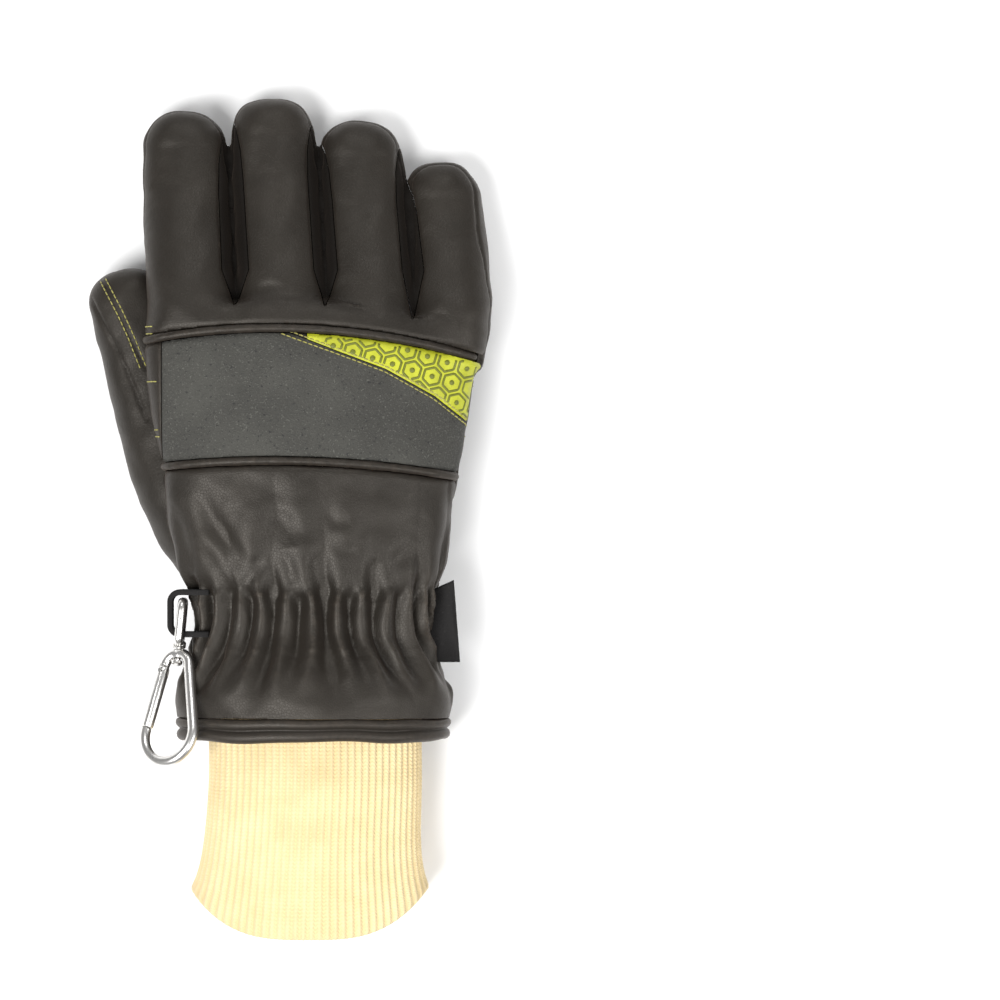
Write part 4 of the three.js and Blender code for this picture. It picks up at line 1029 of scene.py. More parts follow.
runs, dots = relief_lines()
tubes = []
for run in runs:
    path, ways = laid_on(hand_face, run)
    path_high = path[:, 2] > SIDE_SEAM + 1
    if path_high.sum() > 3:
        tubes.append(tube_rings(path[path_high], ways[path_high], np.full(path_high.sum(), 0.5), 6, 0.55))
for x, y in dots:
    spot, way = laid_on(hand_face, [(x, y)])
    if len(spot) and spot[0, 2] > SIDE_SEAM + 1:
        rise = np.array([-0.3, 0.25, 0.42, 0.5])
        spine = spot[0] + np.outer(rise, way[0])
        tubes.append(tube_rings(spine, np.repeat([[1.0, 0.2, 0.1]], 4, axis=0),
                                DOT_RADIUS * np.array([1, 1, 0.75, 0.3]), 14))
pattern = beads_mesh("wedge_relief", tubes)
dress(pattern, relief, "wedge")

WEDGE_START, WEDGE_END = (-14.0, 163.2), (61.0, 124.6)
wedge_middle = [p for p in shares(WEDGE_EDGE) if -11 < p[0] < WEDGE_END[0]]
wedge_line = spaced([WEDGE_START, *wedge_middle, WEDGE_END], 3)
dress(stitches("wedge_stitching", hand_face, [beside(wedge_line, 1.0), beside(wedge_line, -1.1)]),
      thread, "thread")

# Palm and thumb stitching
# Double rows fasten both edges of the palm patch. A single chevron and a triangle quilt it to the
# lining. Two rows run down the thumb's back panel, and bars hold the patch where it wraps over.
PATCH_ROWS = [[(64.8, 144.5), (30, 157.5), (-0.4, 169.0), (-30, 165.6), (-60.4, 162.2)],
              [(54, 96.8), (20, 106.5), (-10, 115.4), (-27, 120.6)]]
ROW_SPREAD = 2.8
QUILTING = [[(60, 121), (24, 132), (-12.4, 144.8), (-28.4, 126)],
            [(-46, 146), (-31.5, 149.2), (-37.4, 135)]]
palm_lines = [beside(spaced(PATCH_ROWS[0], 4), s) for s in (0.9, 0.9 + ROW_SPREAD)]
palm_lines += [beside(spaced(PATCH_ROWS[1], 4), s) for s in (-0.9, -0.9 - ROW_SPREAD)]
dress(stitches("palm_stitching", hand_face, palm_lines + QUILTING, from_above=False), thread, "thread")
thumb_row = photo([(103, 277), (112, 293), (122, 312), (133, 336), (145, 366)])
thumb_row = spaced(thumb_row, 3)
dress(stitches("thumb_stitching", thumb_face, [thumb_row, beside(thumb_row, -2.5)]), thread, "thread")
SIDE_BARS = [[(137, 327), (155, 327)], [(137, 334), (155, 334)], [(145, 382), (160, 382)],
             [(146, 423), (152, 430), (161, 430)], [(147, 431), (151, 436), (161, 437)]]
dress(stitches("wrap_stitching", hand_face, [photo(line) for line in SIDE_BARS], step=1.9), thread, "thread")

# Welts
# Leather piping sewn into the seams above and below the band, half round and a little uneven.
WELT_SINK = 0.35


def welt(name, at):
    angle = np.pi * (1 - np.linspace(0.02, 0.98, 260))
    path = body_point(np.full(260, at), angle, -WELT_SINK * WELT_RADIUS)
    path = path[path[:, 2] > SIDE_SEAM + WELT_RADIUS + GAP]
    path = spaced(path, 0.9)
    up = np.stack([np.zeros(len(path)), np.zeros(len(path)), np.ones(len(path))], axis=-1)
    up[:, 0] = np.gradient(path[:, 2]) / np.gradient(path[:, 0]) * -1
    up /= np.linalg.norm(up, axis=1, keepdims=True)
    path = path + up * (0.12 * waves(path, [17, 9], at))[:, None]
    radius = WELT_RADIUS * (1 + 0.05 * waves(path, [11, 5], 2 * at))
    radius[[0, -1]] *= 0.4
    radius[[1, -2]] *= 0.8
    return dress(beads_mesh(name, [tube_rings(path, up, radius, 14)]), leather, "leather")


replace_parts(welt("upper_welt_piping", UPPER_WELT), "upper_welt")
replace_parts(welt("lower_welt_piping", LOWER_WELT), "lower_welt")

# Hem
# A leather binding folded round the mouth and sewn through, so that it shows two rolls with a
# stitched groove between them.
HEM_WALL = 4.2
HEM_PROFILE = {
    "share": [1.0, 0.97, 0.88, 0.76, 0.65, 0.57, 0.52, 0.47, 0.4, 0.28, 0.14, 0.04,
              -0.02, 0.0, 0.15, 0.5, 0.85, 1.0],
    "grow": [-0.9, 0.0, 0.75, 0.95, 0.65, 0.0, -0.45, 0.0, 0.7, 1.15, 1.1, 0.5,
             -0.6, -3.2, -4.2, -4.2, -4.2, -3.2],
}
hem_sides = 420
angle = np.linspace(0, 2 * np.pi, hem_sides, endpoint=False)
uneven_hem = 0.25 * np.sin(5 * angle + 1) + 0.12 * np.sin(9 * angle)
rings = []
for share_up, grow in zip(HEM_PROFILE["share"], HEM_PROFILE["grow"]):
    outward = grow + (uneven_hem if grow > -2 else 0)
    ring = body_point(np.full(hem_sides, share_up * HEM_LENGTH / BODY_LENGTH), angle, outward)
    ring[:, 1] += 0.5 * np.sin(5 * angle + 0.7) * (1 - share_up) + 0.15 * np.sin(11 * angle)
    ring[:, 2] = np.maximum(ring[:, 2], max(-grow, 0))
    rings.append(ring)


def closed_hoop(name, rings):
    """A ring-shaped solid from loops of points that follow each other round its section."""
    rings = np.asarray(rings)
    rows, sides = rings.shape[:2]
    grid = np.arange(rows * sides).reshape(rows, sides)
    ahead, around = np.roll(grid, -1, axis=0), np.roll(grid, -1, axis=1)
    faces = np.stack([grid, around, np.roll(ahead, -1, axis=1), ahead], axis=-1).reshape(-1, 4)
    return face_out(object_from(name, rings.reshape(-1, 3), faces.tolist()))


hem = closed_hoop("hem_binding", rings)
dress(hem, leather, "leather", "hem")

# Knit wrist
# A ribbed tube of aramid knit, sewn to the lining at the gather. It is a sheet of knit closed
# round, a little wider at its end, with the ribs running along it.
KNIT_RIBS = 74
KNIT_WALL = 2.6
KNIT_TOP = 0.27
KNIT_CLEARANCE = 1.1
KNIT_ROUNDNESS = 2.2
KNIT_COURSE = 1.5
KNIT_CURVE = 0.19
KNIT_HALF = 44.0
KNIT_CENTRE = -3.8
KNIT_OVAL = (43.0, 23.0)
LIP_LENGTH = 14.0
GUARD_THICKNESS = 1.5
KNIT_SECTIONS = {
    "at": [-0.5, -0.3, -0.1, 0.2, 0.6, 0.97],
    "left": [-0.8, -0.64, -0.635, -0.635, -0.67, -0.735],
    "right": [0.8, 0.59, 0.59, 0.59, 0.585, 0.625],
    "bottom": [0, 0.12, 0.1, -0.02, -0.04, -0.05],
    "top": [1.2, 1.04, 1.04, 1.03, 1.04, 1.08],
}


def lip_lift(y):
    """How high the strip and the knit are lifted over the lip of the hem."""
    return (HEM_WALL + GAP) * np.clip(1 + y / LIP_LENGTH, 0, 1)


def end_curve(x):
    """How much shorter the knit is at a distance from its middle, as a share."""
    return KNIT_CURVE * np.abs(x / KNIT_HALF) ** 3.2


def even_angles(wide, high, count):
    """Angles that lie evenly along the edge of an oval."""
    fine = np.linspace(0, 2 * np.pi, 4000)
    x, z = oval(fine, wide, high, KNIT_ROUNDNESS)
    length = np.concatenate([[0], np.cumsum(np.hypot(np.diff(x), np.diff(z)))])
    return np.interp(np.linspace(0, length[-1], count, endpoint=False), length, fine)


def knit_ring(at, angle, grow):
    y = -at * KNIT_LENGTH
    inset = WALL + KNIT_CLEARANCE
    row = {k: smooth_column(KNIT_SECTIONS["at"], KNIT_SECTIONS[k], at) for k in KNIT_SECTIONS}
    left, right = row["left"] * HALF_WIDTH, row["right"] * HALF_WIDTH
    bottom, top = row["bottom"] * BODY_THICKNESS, row["top"] * BODY_THICKNESS
    if y > 0:
        left = max(left, section("left", y / BODY_LENGTH) * HALF_WIDTH + inset)
        right = min(right, section("right", y / BODY_LENGTH) * HALF_WIDTH - inset)
        ceiling = section("middle", y / BODY_LENGTH) + section("half", y / BODY_LENGTH)
        ground = section("middle", y / BODY_LENGTH) - section("half", y / BODY_LENGTH)
        top = min(top, ceiling * BODY_THICKNESS - inset)
        bottom = max(bottom, ground * BODY_THICKNESS + inset)
    dx, dz = oval(angle, (right - left) / 2 + grow, (top - bottom) / 2 + grow, KNIT_ROUNDNESS)
    x = (left + right) / 2 + dx
    rest = 0.0 if y > LIP_LENGTH else lip_lift(y) + GUARD_THICKNESS + GAP
    z = np.maximum((top + bottom) / 2 + dz, rest - np.minimum(grow, 0))
    curved = y * (1 - max(at, 0) ** 2 * end_curve(dx))
    return np.stack([x, curved + 0 * x, z], axis=-1)


knit_sides = KNIT_RIBS * 8
knit_angles = even_angles(*KNIT_OVAL, knit_sides)
rib_number = np.arange(knit_sides) / 8
rib = np.cos(2 * np.pi * rib_number)
knit_at = np.concatenate([np.linspace(-KNIT_TOP * BODY_LENGTH / KNIT_LENGTH, 1, 66), [1.012, 1.012]])
rings, measure = [], []
for row, at in enumerate(knit_at):
    pull = 0.3 * np.sin(rib_number * 0.47 + 3 * at) + 0.2 * np.sin(rib_number * 1.3 + 7 * at)
    slack = 0.5 * max(at, 0) * np.sin(knit_angles * 5 + 0.6)
    grow = 0.32 * rib + slack + 0.12 * pull - (1.0 if row == len(knit_at) - 1 else 0)
    ring = knit_ring(min(at, 1.0), knit_angles, grow)
    ring[:, 1] -= max(at - 1, 0) * KNIT_LENGTH + 0.35 * (at > 0.95) * np.abs(rib)
    rings.append(ring)
    measure.append(at * KNIT_LENGTH / KNIT_COURSE)
for at in np.linspace(1.0, -KNIT_TOP * BODY_LENGTH / KNIT_LENGTH, 14):
    rings.append(knit_ring(at, knit_angles, -KNIT_WALL + 0.25 * rib))
    measure.append(at * KNIT_LENGTH / KNIT_COURSE)
knit = closed_hoop("knit_wrist_tube", rings)
rows_sheet = knit.data.uv_layers.new(name="ribs_and_courses")
corner_vertex = np.empty(len(knit.data.loops), dtype=np.int64)
knit.data.loops.foreach_get("vertex_index", corner_vertex)
column, line_number = corner_vertex % knit_sides, corner_vertex // knit_sides
ribs_at = rib_number[column]
seam_side = np.repeat(np.array([ribs_at[i:i + 4].max() > KNIT_RIBS - 1 and ribs_at[i:i + 4].min() < 1
                                for i in range(0, len(ribs_at), 4)]), 4)
ribs_at = np.where(seam_side & (ribs_at < 1), ribs_at + KNIT_RIBS, ribs_at)
rows_sheet.data.foreach_set("uv", np.stack([ribs_at, np.array(measure)[line_number]], axis=-1).ravel())

knit_yarn = new_material("aramid_knit")
sheet = Shade.node("UVMap", {"uv_map": "ribs_and_courses"})
place = Shade.node("TexCoord", out="Object")
ribs_at = Shade.node("SeparateXYZ", {}, {0: sheet}, out="X")
course_at = Shade.node("SeparateXYZ", {}, {0: sheet}, out="Y")
rib_wave = Shade.node("Math", {"operation": "COSINE"}, {0: ribs_at * (2 * math.pi)})
slant = Shade.node("Math", {"operation": "PINGPONG"}, {0: ribs_at * 2, 1: 0.5})
loop_wave = Shade.node("Math", {"operation": "SINE"}, {0: (course_at + slant) * (2 * math.pi)})
fuzz = noise(place, 0.0007, 3, 0.7)
patches = noise(place, 0.012, 3)
height = 0.5 + 0.5 * rib_wave
tone = mix(between(0.25, 0.75, patches), (0.65, 0.51, 0.285), (0.73, 0.585, 0.345))
# Painted shade: the knit is darker in the valleys between its ribs and between its loops.
tone = mix((1 - height) * 0.32, tone, (0.54, 0.42, 0.18))
tone = mix(between(-0.2, -0.9, loop_wave) * 0.2, tone, (0.52, 0.4, 0.16))
finish_with({"Base Color": tone, "Roughness": 0.9, "Specular IOR Level": 0.2, "Sheen Weight": 0.25,
             "Sheen Roughness": 0.6,
             "Normal": bump(loop_wave * 0.35 + fuzz * 0.6 + height * 0.5, 0.00035, 0.8)})
dress(knit, knit_yarn, "knit", "knit_wrist")

# Suede strip
# A trapezoid of black split suede under the knit, its flesh side out, with slightly uneven edges.
GUARD_ROWS = {"y": [-80, -14, 0, 14], "left": [-0.15, -0.38, -0.4, -0.4], "right": [0.385, 0.48, 0.49, 0.48]}
along_strip = np.linspace(GUARD_ROWS["y"][0], GUARD_ROWS["y"][-1], 120)
across_strip = np.linspace(0, 1, 60)
left = np.interp(along_strip, GUARD_ROWS["y"], GUARD_ROWS["left"]) * HALF_WIDTH
right = np.interp(along_strip, GUARD_ROWS["y"], GUARD_ROWS["right"]) * HALF_WIDTH
ragged = 0.25 * np.sin(along_strip / 3.1) + 0.18 * np.sin(along_strip / 1.3 + 1)
xs = (left + ragged)[:, None] * (1 - across_strip) + (right - ragged[::-1])[:, None] * across_strip
reach = np.where(along_strip[:, None] < 0, 0.965 * (1 - end_curve(xs - KNIT_CENTRE)), 1)
ys = along_strip[:, None] * reach + 0.3 * np.sin(xs / 3.7) * (along_strip[:, None] < -70)
low = np.broadcast_to(lip_lift(along_strip)[:, None], xs.shape)
edge_fall = np.minimum(across_strip, 1 - across_strip) * 30
soft = GUARD_THICKNESS * (0.75 + 0.25 * ease(0, 1, edge_fall))[None, :]
flat_points = np.stack([xs, ys, low], axis=-1)
ripple = 0.05 * waves(flat_points.reshape(-1, 3), [6, 4, 9], 0.7).reshape(xs.shape)
top_points = np.stack([xs, ys, low + soft + ripple], axis=-1)


def slab_between(name, low_grid, high_grid):
    """Closed slab between two equal grids of points."""
    rows, columns = low_grid.shape[:2]
    count = rows * columns
    grid = np.arange(count).reshape(rows, columns)
    under = np.stack([grid[:-1, :-1], grid[1:, :-1], grid[1:, 1:], grid[:-1, 1:]], axis=-1).reshape(-1, 4)
    faces = under.tolist() + (under[:, ::-1] + count).tolist()
    rim = np.concatenate([grid[0], grid[1:, -1], grid[-1, -2::-1], grid[-2:0:-1, 0]])
    ahead = np.roll(rim, -1)
    faces += np.stack([rim, ahead, ahead + count, rim + count], axis=-1).tolist()
    points = np.concatenate([low_grid.reshape(-1, 3), high_grid.reshape(-1, 3)])
    return face_out(object_from(name, points, faces))


strip = slab_between("suede_strip", flat_points, top_points)
suede = new_material("black_suede")
place = Shade.node("TexCoord", out="Object")
nap = noise(place, 0.0009, 4, 0.75)
brushed = noise(place, 0.011, 3)
tone = mix(between(0.35, 0.65, brushed), (0.0065, 0.005, 0.0045), (0.013, 0.01, 0.009))
finish_with({"Base Color": mix(between(0.55, 0.75, nap), tone, (0.03, 0.024, 0.02)), "Roughness": 0.95,
             "Specular IOR Level": 0.15, "Sheen Weight": 0.2, "Sheen Roughness": 0.4,
             "Normal": bump(nap, 0.0005, 0.9)})
dress(strip, suede, "suede", "wrist_guard")

# Hanging strap and side label
# The strap is stiff black webbing that leaves the thumb's side seam and returns to it. The label
# is a folded tab of black woven tape in the other side seam, and it is bare.
STRAP = {"root": 50.8, "spread": 16.8, "width": 10.0, "thickness": 2.4, "height": 38.0, "turn": 5.0}
NECK_OUT, EYE_WIRE, STRAP_PLAY = 0.3, 1.7, 0.3


def side_of_body(at, height, side):
    left, right = section("left", at) * HALF_WIDTH, section("right", at) * HALF_WIDTH
    middle, high = section("middle", at) * BODY_THICKNESS, section("half", at) * BODY_THICKNESS
    crown = section("crown", at)
    out = (1 - min(abs(height - middle) / high, 1) ** crown) ** (1 / crown)
    return (left + right) / 2 + side * out * (right - left) / 2


neck_x = side_of_body(0.1, STRAP["height"], -1) - NECK_OUT
strap_out = neck_x - EYE_WIRE - STRAP_PLAY - STRAP["thickness"] / 2
low_run, high_run = (STRAP["root"] + s * STRAP["spread"] / 2 for s in (-1, 1))
bend = STRAP["turn"] - STRAP["thickness"] / 2
strap_start = side_of_body(STRAP["root"] / BODY_LENGTH, STRAP["height"], -1) + 1
turn = np.linspace(0, np.pi / 2, 9)
path = [(strap_start, low_run)]
path += [(strap_out + bend * (1 - math.sin(a)), low_run + bend * (1 - math.cos(a))) for a in turn]
path += [(strap_out + bend * (1 - math.cos(a)), high_run - bend * (1 - math.sin(a))) for a in turn]
path = spaced(np.array(path + [(strap_start, high_run)]), 0.5)
section_turn = np.linspace(0, 2 * np.pi, 44, endpoint=False)
across, rise = oval(section_turn, STRAP["thickness"] / 2, STRAP["width"] / 2, 6)
ribbing = 1 - 0.07 * (np.cos(rise * 2 * np.pi / 1.25) < -0.2)
along = np.gradient(path, axis=0)
along /= np.linalg.norm(along, axis=1, keepdims=True)
side = np.stack([-along[:, 1], along[:, 0]], axis=-1)
pick = 1 + 0.05 * np.sin(np.arange(len(path)) * np.pi)
rings = np.zeros((len(path), 44, 3))
rings[..., :2] = path[:, None] + (across * ribbing)[None, :, None] * side[:, None] * pick[:, None, None]
rings[..., 2] = STRAP["height"] + rise
strap = beads_mesh("hanging_strap_webbing", [rings])
webbing = new_material("black_webbing")
place = Shade.node("TexCoord", out="Object")
picks = Shade.node("TexWave", {"wave_type": "BANDS", "bands_direction": "Z"},
                   {"Vector": place, "Scale": 260.0, "Distortion": 1.5, "Detail": 2.0, "Detail Scale": 8.0})
lint = between(0.6, 0.75, noise(place, 0.0008, 3, 0.7))
finish_with({"Base Color": mix(lint * 0.5 + picks * 0.15, (0.007, 0.0065, 0.0065), (0.045, 0.043, 0.042)),
             "Roughness": 0.85, "Specular IOR Level": 0.16, "Sheen Weight": 0.04,
             "Normal": bump(picks, 0.0002, 0.8)})
dress(strap, webbing, "webbing", "hanging_strap")

LABEL = {"start": 31.0, "length": 33.0, "slant": 2.5, "rise": 6.0, "proud": 14.0, "thickness": 1.0,
         "root": 41.0}
label_middle = LABEL["start"] + LABEL["length"] / 2
label_reach = side_of_body(label_middle / BODY_LENGTH, SIDE_SEAM, 1) + LABEL["proud"]
up = np.linspace(0, 1, 60)[:, None]
out = np.linspace(0, 1, 44)[None, :]
xs = LABEL["root"] + (label_reach - LABEL["slant"] * up - LABEL["root"]) * out
ys = LABEL["start"] + up * (LABEL["length"] - LABEL["rise"] * (1 - out))
curl = 0.5 * np.sin(up * 3.0 + 0.5) * out + 0.35 * np.sin(out * 5 + up * 4) * out
hem_ridge = 0.12 * (np.exp(-((out - 0.93) / 0.025) ** 2) + np.exp(-((up - 0.05) / 0.02) ** 2)
                    + np.exp(-((up - 0.95) / 0.02) ** 2))
thick = LABEL["thickness"] * np.clip(np.minimum(np.minimum(up, 1 - up) * 40, (1 - out) * 30) + 0.35, 0, 1) / 2
label_low = np.stack([xs, ys, SIDE_SEAM + curl - thick - hem_ridge], axis=-1)
label_high = np.stack([xs, ys, SIDE_SEAM + curl + thick + hem_ridge], axis=-1)
label = slab_between("side_label_tab", label_low, label_high)
dress(label, webbing, "webbing", "side_label")

# Swivel eye and snap hook
# Bright nickel-plated steel. The eye is a bent wire with a riveted block, the hook a pear-shaped
# wire that turns on the block's shank, and its sprung gate is folded from sheet round a pin.
joint_at = {j["name"]: j for j in frame["joints"]}
swivel, hinge = joint_at["hook_swivel"], joint_at["gate_hinge"]
HOOK = {"wire": 2.1, "window": 45.0, "end": 11.6, "neck": 6.0, "dip": 0.8, "bar_turn": 0.25, "pitch": 18.0}
EYE = {"length": 16.4, "clearance": 1.3, "turn": 3.5, "block": 2.8, "block_length": 2.0, "seat": 0.6,
       "shank": 1.2, "knob": 2.2, "knob_length": 1.8, "gap": 0.3}
GATE = {"pin": 0.8, "pin_out": 0.1, "pin_back": 1.2, "proud": 0.2, "ratio": 0.86, "tongue": 4.5,
        "pin_tongue": 3.5, "thickness": 1.8, "clearance": 0.3, "web": 1.2,
        "tail": 1.4, "web_tail": 1.7}
axis_y = -Vector(swivel["axis"]).normalized()
axis_z = Vector(hinge["axis"]).normalized()
axis_x = axis_y.cross(axis_z).normalized()
level_x = axis_y.cross(Vector((0, 0, 1))).normalized()
level = np.array([level_x, axis_y, level_x.cross(axis_y)])
turned = np.array([axis_x, axis_y, axis_z])
neck = np.array(swivel["pos_m"]) * 1000 - SHIFT


def in_hook(points):
    """Places in the hook's own frame, its axis along Y and the neck at its origin."""
    return np.asarray(points, dtype=float) @ turned + neck


def ring_wire(name, path, radius, normal, sides):
    """A closed wire through points that lie in one plane."""
    path = np.asarray(path, dtype=float)
    along = np.roll(path, -1, axis=0) - np.roll(path, 1, axis=0)
    along /= np.linalg.norm(along, axis=1, keepdims=True)
    side = np.cross(normal, along)
    angle = np.linspace(0, 2 * np.pi, sides, endpoint=False)
    rings = [path + radius * (math.cos(a) * np.asarray(normal) + math.sin(a) * side) for a in angle]
    return closed_hoop(name, in_hook(np.array(rings)))


end_y = -HOOK["wire"] - HOOK["window"] + HOOK["end"]
neck_turn = -HOOK["wire"] - HOOK["neck"]
leg_tilt = math.asin((HOOK["end"] - HOOK["neck"]) / (neck_turn - end_y))
wide_end = np.linspace(-leg_tilt, np.pi + leg_tilt, 60)
narrow = np.linspace(leg_tilt, np.pi / 2 - HOOK["bar_turn"], 18)
left_neck = np.stack([-HOOK["neck"] * np.cos(narrow), neck_turn + HOOK["neck"] * np.sin(narrow)], axis=-1)
right_neck = left_neck[::-1] * (-1, 1)
bar = np.linspace(-1, 1, 9)[1:-1]
bar_x = HOOK["neck"] * math.sin(HOOK["bar_turn"]) * bar
bar_edge = neck_turn + HOOK["neck"] * math.cos(HOOK["bar_turn"])
bar_y = bar_edge + (-HOOK["wire"] - HOOK["dip"] - bar_edge) * np.cos(bar * np.pi / 2) ** 2
pear = np.vstack([np.stack([HOOK["end"] * np.cos(wide_end), end_y - HOOK["end"] * np.sin(wide_end)], axis=-1),
                  left_neck, np.stack([bar_x, bar_y], axis=-1), right_neck])
pear = spaced(np.vstack([pear, pear[:1]]), 0.7)[:-1]
hook = ring_wire("snap_hook_wire", np.column_stack([pear, np.zeros(len(pear))]), HOOK["wire"], (0, 0, 1), 28)

pin_at = np.array([-HOOK["neck"] - GATE["pin_out"], neck_turn - GATE["pin_back"], 0.0])
gate_length = (neck_turn - end_y) * GATE["ratio"]
gate_half = HOOK["wire"] + GATE["proud"]


def in_gate(points):
    """Places in the gate's frame, its pin at the origin and its free end towards -Y."""
    c, s = math.cos(-leg_tilt), math.sin(-leg_tilt)
    points = np.asarray(points, dtype=float)
    x, y, z = points[..., 0], points[..., 1], points[..., 2]
    return in_hook(np.stack([c * x - s * y, s * x + c * y, z], axis=-1) + pin_at)


def gate_box(low, high, depth, middle=0.0):
    """A box in the gate's frame, as deep to either side of its middle."""
    points = [(x, y, z) for z in (middle - depth, middle + depth)
              for x, y in ((low[0], low[1]), (high[0], low[1]), (high[0], high[1]), (low[0], high[1]))]
    faces = [[3, 2, 1, 0], [4, 5, 6, 7]] + [[i, (i + 1) % 4, 4 + (i + 1) % 4, 4 + i] for i in range(4)]
    return face_out(object_from("cutter", in_gate(points), faces, smooth=False), triangles=True)


WIDE = 3 * gate_half
web_inner = gate_half - GATE["web"] - GATE["clearance"]
cuts = [gate_box((-WIDE, -gate_length + GATE["tongue"]), (WIDE, -GATE["pin_tongue"]), WIDE),
        gate_box((web_inner, -gate_length - GATE["clearance"]), (WIDE, -GATE["web_tail"]), WIDE)]
cheek_out = gate_half + GATE["clearance"]
for side in (-1, 1):
    cuts.append(gate_box((-cheek_out, -gate_length - GATE["clearance"]), (cheek_out, cheek_out),
                         0.5 * WIDE, side * (0.5 * WIDE + GATE["thickness"] / 2)))
for cutter in cuts:
    combine(hook, cutter, "DIFFERENCE")
    drop(cutter)


def smooth_edges(piece, degrees, width):
    """Rounds the cut edges a little and shades the rest smooth."""
    round_off = piece.modifiers.new("round", "BEVEL")
    round_off.width = width / 1000
    round_off.segments = 2
    round_off.limit_method = "ANGLE"
    round_off.angle_limit = math.radians(degrees)
    bake(piece)
    piece.data.shade_smooth()
    return piece


def turned_solid(name, profile, place=in_hook, sides=40):
    """A lathe-turned solid round the Y axis of a frame, from radius and place along it."""
    angle = np.linspace(0, 2 * np.pi, sides, endpoint=False)
    rings = [np.stack([r * np.cos(angle), np.full(sides, at), r * np.sin(angle)], axis=-1)
             for r, at in profile]
    return beads_mesh(name, [place(np.array(rings))])


eye_half = STRAP["width"] / 2 + EYE["clearance"] + EYE_WIRE
bar_from = EYE["gap"] + EYE["block_length"]
corners = [(bar_from, eye_half), (bar_from + EYE["length"], eye_half),
           (bar_from + EYE["length"], -eye_half), (bar_from, -eye_half)]
eye_path = []
for i, corner in enumerate(corners):
    corner, before, after = (np.array(corners[k % 4], dtype=float) for k in (i, i - 1, i + 1))
    start = corner + (before - corner) / np.linalg.norm(before - corner) * EYE["turn"]
    stop = corner + (after - corner) / np.linalg.norm(after - corner) * EYE["turn"]
    eye_path += [(1 - t) ** 2 * start + 2 * t * (1 - t) * corner + t * t * stop
                 for t in np.linspace(0, 1, 14)]
eye_path = spaced(np.array(eye_path + eye_path[:1]), 0.7)[:-1]
c, s = math.cos(math.radians(HOOK["pitch"])), math.sin(math.radians(HOOK["pitch"]))
tilted = [(0, c * y - s * z, s * y + c * z) for y, z in eye_path]
eye_path = np.array(tilted) @ level + neck
along = np.roll(eye_path, -1, axis=0) - np.roll(eye_path, 1, axis=0)
along /= np.linalg.norm(along, axis=1, keepdims=True)
eye_side = np.cross(level[0], along)
section_turn = np.linspace(0, 2 * np.pi, 24, endpoint=False)
eye = closed_hoop("eye_and_block", [eye_path + EYE_WIRE * (math.cos(a) * level[0] + math.sin(a) * eye_side)
                                    for a in section_turn])
block_top = EYE["gap"] + EYE["block_length"] + EYE["seat"]
knob_top = -2 * HOOK["wire"] - HOOK["dip"] - EYE["gap"]
knob_end = knob_top - EYE["knob_length"]
post = turned_solid("post", [(0.4, knob_end), (1.5, knob_end + 0.15), (EYE["knob"], knob_end + 0.7),
                             (EYE["knob"], knob_top - 0.25), (2.0, knob_top), (EYE["shank"], knob_top + 0.02),
                             (EYE["shank"], EYE["gap"]), (2.5, EYE["gap"] + 0.02),
                             (EYE["block"], EYE["gap"] + 0.3), (EYE["block"], block_top - 0.5),
                             (2.3, block_top)])
combine(eye, post, "UNION")
drop(post)
hole = turned_solid("hole", [(EYE["shank"] + GAP, -9.0), (EYE["shank"] + GAP, 1.0)])
combine(hook, hole, "DIFFERENCE")
drop(hole)

SLOT_HALF = GATE["thickness"] / 2 + GATE["clearance"]
PIN_HOLE = GATE["pin"] + 0.15


GATE_SIDES = 36
gate_turn = np.linspace(0, 2 * np.pi, GATE_SIDES, endpoint=False)
gate_profile = [(0.9, 2.2), (1.7, 1.95), (2.2, 1.3), (gate_half, 0.4), (gate_half, 0.6 - gate_length),
                (gate_half - 0.2, 0.1 - gate_length), (gate_half - 0.7, -gate_length)]
gate = turned_solid("sprung_gate", gate_profile, in_gate, GATE_SIDES)
pin_hole = beads_mesh("pin_hole", [in_gate(np.array([
    np.stack([PIN_HOLE * np.cos(gate_turn), PIN_HOLE * np.sin(gate_turn), np.full(GATE_SIDES, z)], axis=-1)
    for z in (-9.0, 9.0)]))])
for cutter in (gate_box((-WIDE, -gate_length - WIDE), (gate_half - GATE["web"], WIDE), SLOT_HALF),
               gate_box((-WIDE, -GATE["tail"]), (WIDE, WIDE), SLOT_HALF), pin_hole):
    combine(gate, cutter, "DIFFERENCE")
    drop(cutter)

steel = new_material("bright_steel")
place = Shade.node("TexCoord", out="Object")
scuff = noise(place, 0.004, 4, 0.7)
scratch = noise(place, 0.0009, 3, 0.8)
tone = mix(between(0.4, 0.8, scuff), (0.72, 0.71, 0.69), (0.6, 0.585, 0.56))
finish_with({"Base Color": tone, "Metallic": 1.0,
             "Roughness": 0.2 + 0.14 * scuff + 0.05 * scratch, "Normal": bump(scratch, 0.00001, 0.5)})
smooth_edges(hook, 40, 0.12)
dress(hook, steel, "steel", "hook_frame", body="hook")
dress(smooth_edges(eye, 50, 0.1), steel, "steel", "swivel_eye")
dress(smooth_edges(gate, 40, 0.15), steel, "steel", "hook_gate", body="gate")
pin = frame["nodes"]["gate_pin"]
pin.data.materials.clear()
pin.data.materials.append(steel)

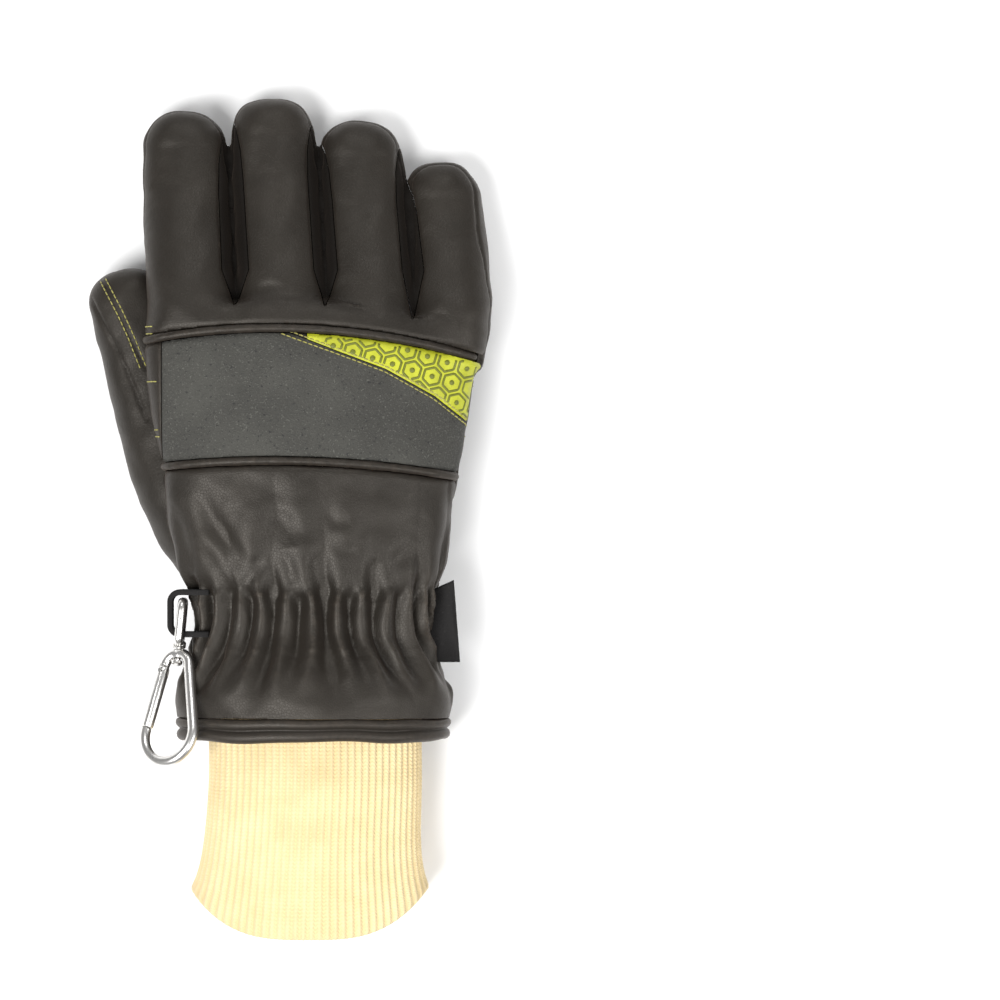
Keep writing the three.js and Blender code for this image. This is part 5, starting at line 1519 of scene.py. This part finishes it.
# Camera, light and floor
# The camera looks straight down on the back of the hand, as the photograph does, through a long lens.
camera_data = bpy.data.cameras.new("camera")
camera_data.lens = 200
camera_data.sensor_width = 36
camera = bpy.data.objects.new("camera", camera_data)
PHOTO_CENTRE = 500
AIM_HEIGHT = 35.0
aim = to_frame([*photo((PHOTO_CENTRE, PHOTO_CENTRE)), AIM_HEIGHT])
camera.location = (aim[0], aim[1], aim[2] + PIXEL * camera_data.lens / camera_data.sensor_width)
bpy.context.scene.collection.objects.link(camera)
bpy.context.scene.camera = camera
paper = new_material("white_paper")
place = Shade.node("TexCoord", out="Object")
finish_with({"Base Color": mix(noise(place, 0.2), (0.86, 0.86, 0.86), (0.88, 0.88, 0.88)), "Roughness": 0.9})
floor_mesh = bpy.data.meshes.new("floor")
floor_mesh.from_pydata([(-4, -4, 0), (4, -4, 0), (4, 4, 0), (-4, 4, 0)], [], [(0, 1, 2, 3)])
floor_mesh.materials.append(paper)
floor = bpy.data.objects.new("floor", floor_mesh)
bpy.context.scene.collection.objects.link(floor)
LAMPS = [{"name": "softbox", "place": (-0.6, -0.5, 1.35), "size": 0.8, "power": 32.0},
         {"name": "fill", "place": (1.0, -0.4, 1.2), "size": 0.9, "power": 17.0},
         {"name": "back", "place": (0.1, 1.3, 1.1), "size": 0.7, "power": 8.0}]
for lamp in LAMPS:
    data = bpy.data.lights.new(lamp["name"], "AREA")
    data.energy, data.size = lamp["power"], lamp["size"]
    light = bpy.data.objects.new(lamp["name"], data)
    light.location = lamp["place"]
    light.rotation_euler = (-light.location).to_track_quat("-Z", "Y").to_euler()
    bpy.context.scene.collection.objects.link(light)
room_air = bpy.data.worlds.new("room")
room_air.use_nodes = True
room_air.node_tree.nodes["Background"].inputs[0].default_value = (1, 1, 1, 1)
room_air.node_tree.nodes["Background"].inputs[1].default_value = 0.3
bpy.context.scene.world = room_air
bpy.context.scene.view_settings.view_transform = "Standard"

for extra in (hollow, thumb_hollow, whole_hand, whole_thumb, hand):
    drop(extra)
